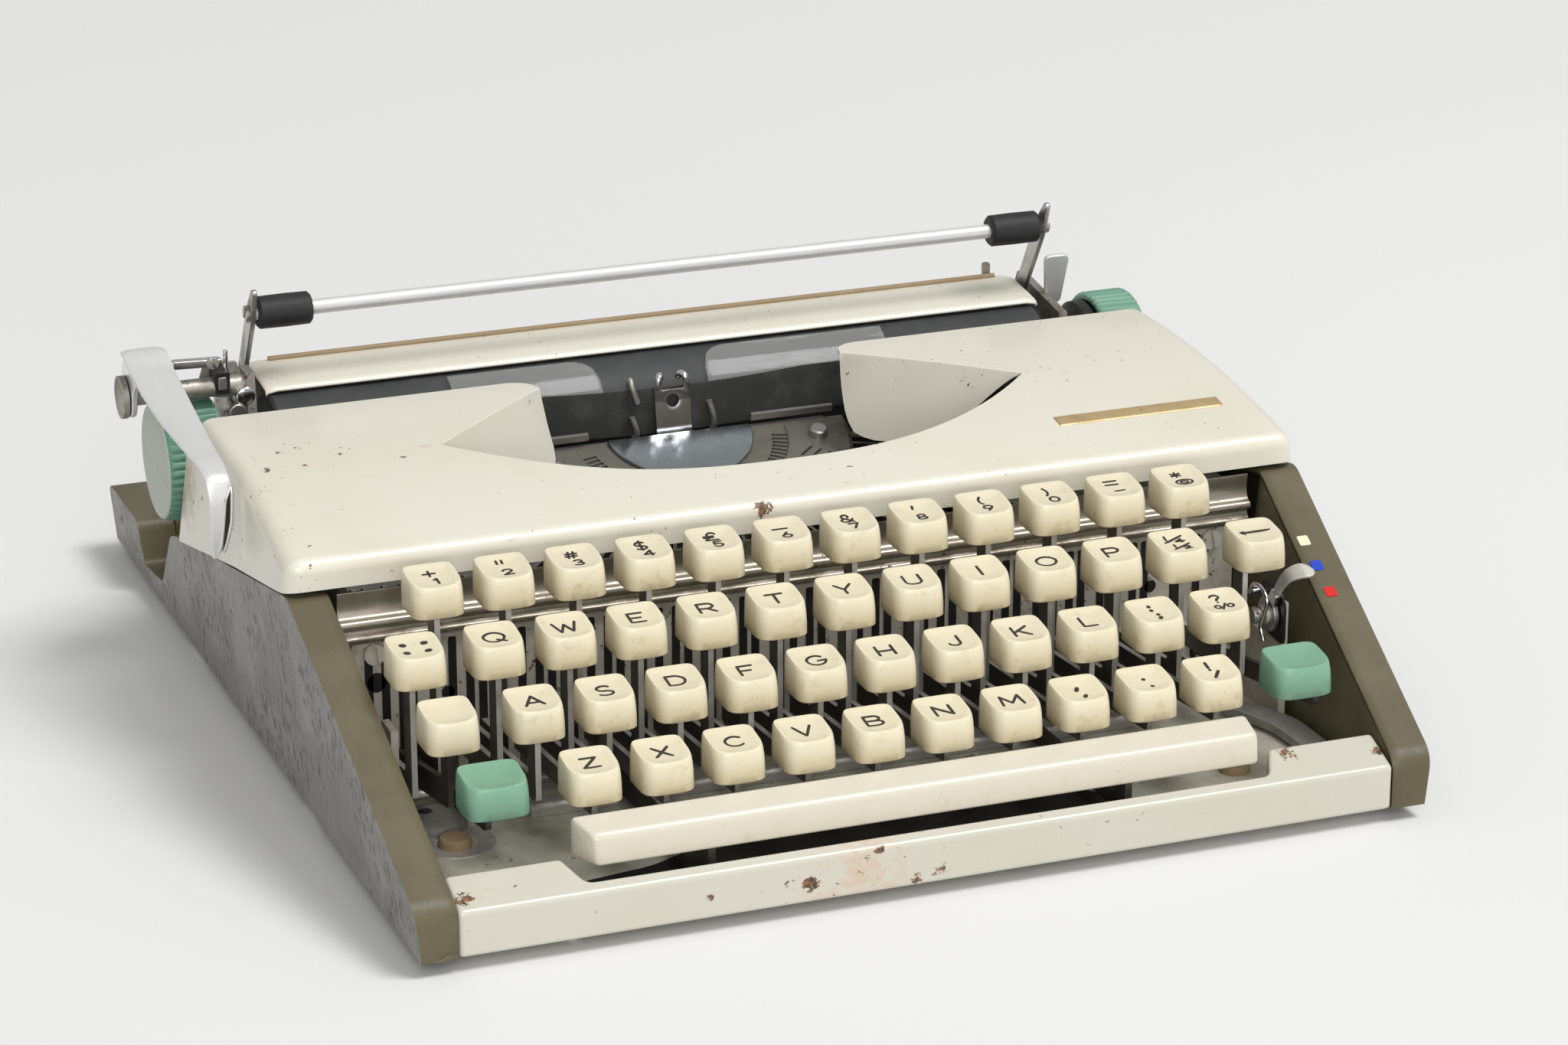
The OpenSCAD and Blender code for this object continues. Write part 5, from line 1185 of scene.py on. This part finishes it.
wireLine = curve([(119.4, 70.4, 40.6), (119.4, 68.6, 43.4), (119.4, 63.0, 44.0), (119.4, 60.2, 41.6),
                  (119.4, 61.6, 37.4), (119.4, 63.4, 33.0), (119.4, 61.4, 29.6)], 40)
bracket = [part(prism(bracketLine, "x", 123.3, 124.0), "black"), part(tube(wireLine, 0.65, 10), "chrome"),
           part(tube([(119.4, 70.4, 40.8), (123.6, 70.4, 40.8)], 0.65, 10), "chrome"),
           part(lathe([(0, 0), (0, 2.2), (1.2, 2.4), (1.3, 1.8), (2.4, 1.8), (2.5, 2.4), (4.2, 2.4), (4.2, 0)],
                      (117.0, *selectForm["pivot"]), "x", 28), "rusty")]
piece("selectorBracket", "chassis", bracket)

holderForm = {"r": 17.7, "turn": (10, 72), "corner": 8.0, "spans": ((-62.0, -18.5, 1), (13.5, 70.0, -1))}
holderTurn = np.radians(np.linspace(*holderForm["turn"], 40))
holderLine = np.stack([platen["y"] - holderForm["r"] * np.cos(holderTurn),
                       platen["z"] + holderForm["r"] * np.sin(holderTurn)], 1)
holders = []
for low, high, inner in holderForm["spans"]:
    x = np.linspace(low, high, 40)[:, None]
    fromEnd = (high - x if inner > 0 else x - low) / holderForm["corner"]
    top = 1 - 0.40 * (1 - np.sqrt(1 - np.clip(1 - fromEnd, 0, 1) ** 2))
    at = top * np.linspace(0, 1, 18)[None] * 39
    y, z = (np.interp(at, np.arange(40), holderLine[:, i]) for i in (0, 1))
    holders.append(part(grid(np.stack([np.broadcast_to(x, y.shape), y, z], -1)), "clear"))
piece("cardHolders", "chassis", holders, solid=0.4, up=(0, -1, 0.4))

guideWires = [
    [(-12.0, 204.7, 66.0), (-12.1, 204.6, 73.8), (-12.1, 203.3, 75.2), (-12.1, 202.1, 73.8), (-10.4, 201.9, 68.5)],
    [(-11.0, 204.7, 62.0), (-11.0, 204.4, 58.6), (-10.8, 203.2, 57.2), (-10.7, 202.1, 59.4), (-12.2, 201.9, 64.6)],
    [(12.4, 204.7, 63.0), (12.5, 204.4, 59.4), (12.6, 203.2, 58.0), (12.7, 202.1, 60.4), (11.2, 201.9, 66.9)],
]
piece("ribbonGuidePins", "chassis", [part(tube(curve(w, 24), 0.85, 10), "rusty") for w in guideWires])

shieldForm = {"r": [31.4, 31.8, 49.2, 49.6, 49.6, 31.4], "drop": [-0.5, -0.15, -0.15, -0.5, -0.66, -0.66],
              "turn": (184, 356), "steps": 70}
shieldAngle = np.radians(np.linspace(*shieldForm["turn"], shieldForm["steps"]))[:, None]
shieldR, shieldZ = np.array(shieldForm["r"])[None], basket["z"] + np.array(shieldForm["drop"])
shield = np.stack([shieldR * np.cos(shieldAngle), basket["y"] + shieldR * np.sin(shieldAngle),
                   np.broadcast_to(shieldZ, (shieldForm["steps"], 6))], -1)
sv, sf = grid(shield, wrapV=True)
shieldShape = sv, sf + [list(range(6)), list(range(len(sv) - 1, len(sv) - 7, -1))]
slotPlan = [rounded([(x - 2.6, y - 1.6), (x - 1.9, y - 2.0), (x + 2.6, y + 1.6), (x + 1.9, y + 2.0)], 0.2, 3)
            for x, y in ((33.4, 181.0), (35.6, 179.2), (37.8, 177.4))]
segmentParts = [(shieldShape, "segment")]
# thin black strips stand in for the dark slots in the shield: painted shade
segmentParts += [(prism(q, "z", basket["z"] - 0.3, basket["z"] - 0.1), "black") for q in slotPlan]
for x, y, r, high, sides in ((39.5, 188.2, 2.7, 2.2, 24), (-39.5, 187.0, 1.8, 1.6, 6)):
    head = [(-0.3, 0), (-0.3, r), (high - 0.4, r), (high, r - 0.5), (high, 0)]
    segmentParts.append((lathe(head, (x, y, basket["z"]), "z", sides), "steel"))
for low, high in ((-47, -27), (22, 47)):
    ledge = rounded([(low, 61.0), (high, 61.0), (high, 63.0), (low, 63.0)], 0.3, 3)
    segmentParts.append((prism(ledge, "y", 197.0, 198.2), "steel"))
tipped = [part(turned(q, "x", basket["tilt"], (0, basket["y"], basket["z"])), look) for q, look in segmentParts]
piece("segmentFittings", "basket", tipped)

linkForm = {"bar": [(-141, 89.4), (-127, 88.9), (-127, 91.0), (-141, 91.6)],
            "plate": [(-134, 79.4), (-121.4, 77.0), (-121.4, 88.0), (-131, 88.4)],
            "block": [(-129.6, 80.9), (-125.2, 80.9), (-125.2, 87.2), (-129.6, 87.2)],
            "face": [(-128.6, 82.2), (-126.2, 82.2), (-126.2, 85.8), (-128.6, 85.8)],
            "bush": [(0, 0), (0, 2.4), (0.5, 2.9), (4.5, 2.9), (5, 2.4), (5, 0)],
            "button": [(0, 0), (0, 2.2), (0.4, 2.5), (1.8, 2.5), (2.0, 2.2), (2.0, 0)]}
linkParts = [part(prism(rounded(linkForm["bar"], 0.6, 4), "y", 216.4, 219.4), "chrome"),
             part(prism(rounded(linkForm["plate"], 1.0, 4), "y", 222.0, 223.0), "rusty"),
             part(screw((-130.0, 216.2, 90.4), 1.7, "y", -1, 20), "steel"),
             part(tube([(-125.8, 218.0, 84.0), (-125.8, 218.0, 93.0)], 0.7, 10), "chrome"),
             part(prism(rounded(linkForm["block"], 0.5, 3), "y", 216.0, 222.2), "black"),
             part(prism(rounded(linkForm["face"], 0.4, 3), "y", 215.7, 216.1), "steel"),
             part(lathe(linkForm["bush"], (-121.4, 213.6, 80.1), "y", 28), "chrome"),
             part(lathe(linkForm["button"], (-124.0, 213.0, 76.0), "y", 28), "steel"),
             part(tube([(-124.0, 214, 76.0), (-124.0, 222.5, 76.5)], 1.0, 10), "steel"),
             part(tube([(-121.4, 217, 80.1), (-121.4, 222.5, 80.1)], 1.0, 10), "steel")]
collar = [(134.4, 4.1), (134.4, 13.6), (135.2, 14.6), (138.2, 14.9), (138.9, 14.2), (138.9, 4.1), (134.4, 4.1)]
piece("endCollar", "platen_roll", [part(lathe(collar, axis, "x", 64), "black")])
piece("lineSpaceLink", "carriage", linkParts, bevel=0.15, segments=2, bend=50)
print("stage: fittings")


# finishes for the CAD nodes that stay

kept = {"base_plate": "floorPlate", "main_frame": "comb", "type_segment": "segment", "typebars": "typebar",
        "carriage_frame": "rusty"}
for node, look in kept.items():
    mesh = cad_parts[node].data
    mesh.materials.clear()
    mesh.materials.append(looks[look])


# floor, light and camera

studio = {"floor": (0.765, 0.765, 0.76), "worldLight": 0.40, "target": (0, 0, 0.05),
          "key": {"place": (1.95, -1.95, 5.35), "size": 2.4, "power": 236.0},
          "fill": {"place": (-1.3, -4.8, 2.3), "size": 3.2, "power": 124.0}}
floorLook = Look("floorPaper", Specular_IOR_Level=0.1)
floorLook.finish(studio["floor"], 0.9)
floorMesh = bpy.data.meshes.new("floor")
floorMesh.from_pydata([(-9, -9, 0), (9, -9, 0), (9, 9, 0), (-9, 9, 0)], [], [(0, 1, 2, 3)])
floorMesh.materials.append(floorLook.material)
floor = bpy.data.objects.new("floor", floorMesh)
bpy.context.scene.collection.objects.link(floor)

world = bpy.data.worlds.new("studio")
world.use_nodes = True
world.node_tree.nodes["Background"].inputs["Color"].default_value = (1, 1, 1, 1)
world.node_tree.nodes["Background"].inputs["Strength"].default_value = studio["worldLight"]
bpy.context.scene.world = world


def lamp(name, place, size, power, target=studio["target"]):
    # square soft light at a place, turned to a target
    data = bpy.data.lights.new(name, "AREA")
    data.shape, data.size, data.energy = "SQUARE", size, power
    made = bpy.data.objects.new(name, data)
    bpy.context.scene.collection.objects.link(made)
    back = np.array(place, float) - np.array(target, float)
    back /= np.linalg.norm(back)
    side = np.cross([0, 0, 1], back)
    side /= np.linalg.norm(side)
    up = np.cross(back, side)
    turn = np.eye(4)
    turn[:3, 0], turn[:3, 1], turn[:3, 2], turn[:3, 3] = side, up, back, place
    made.matrix_world = Matrix(turn.tolist())
    return made


lamp("keyLight", **studio["key"])
lamp("fillLight", **studio["fill"])

view = {"place": (-0.42401, -1.15941, 0.50170), "azimuth": -20.86, "elevation": 20.27, "lens": 108.27}
az, el = np.radians(view["azimuth"]), np.radians(view["elevation"])
back = np.array([np.sin(az) * np.cos(el), -np.cos(az) * np.cos(el), np.sin(el)])
sideways = np.array([np.cos(az), np.sin(az), 0.0])
upward = np.cross(back, sideways)
lens = bpy.data.cameras.new("photoCamera")
lens.lens, lens.sensor_width, lens.sensor_fit = view["lens"], 36.0, "HORIZONTAL"
camera = bpy.data.objects.new("photoCamera", lens)
bpy.context.scene.collection.objects.link(camera)
turn = np.eye(4)
turn[:3] = np.column_stack([sideways, upward, back, view["place"]])
camera.matrix_world = Matrix(turn.tolist())
bpy.context.scene.camera = camera
bpy.context.scene.view_settings.view_transform = "Standard"
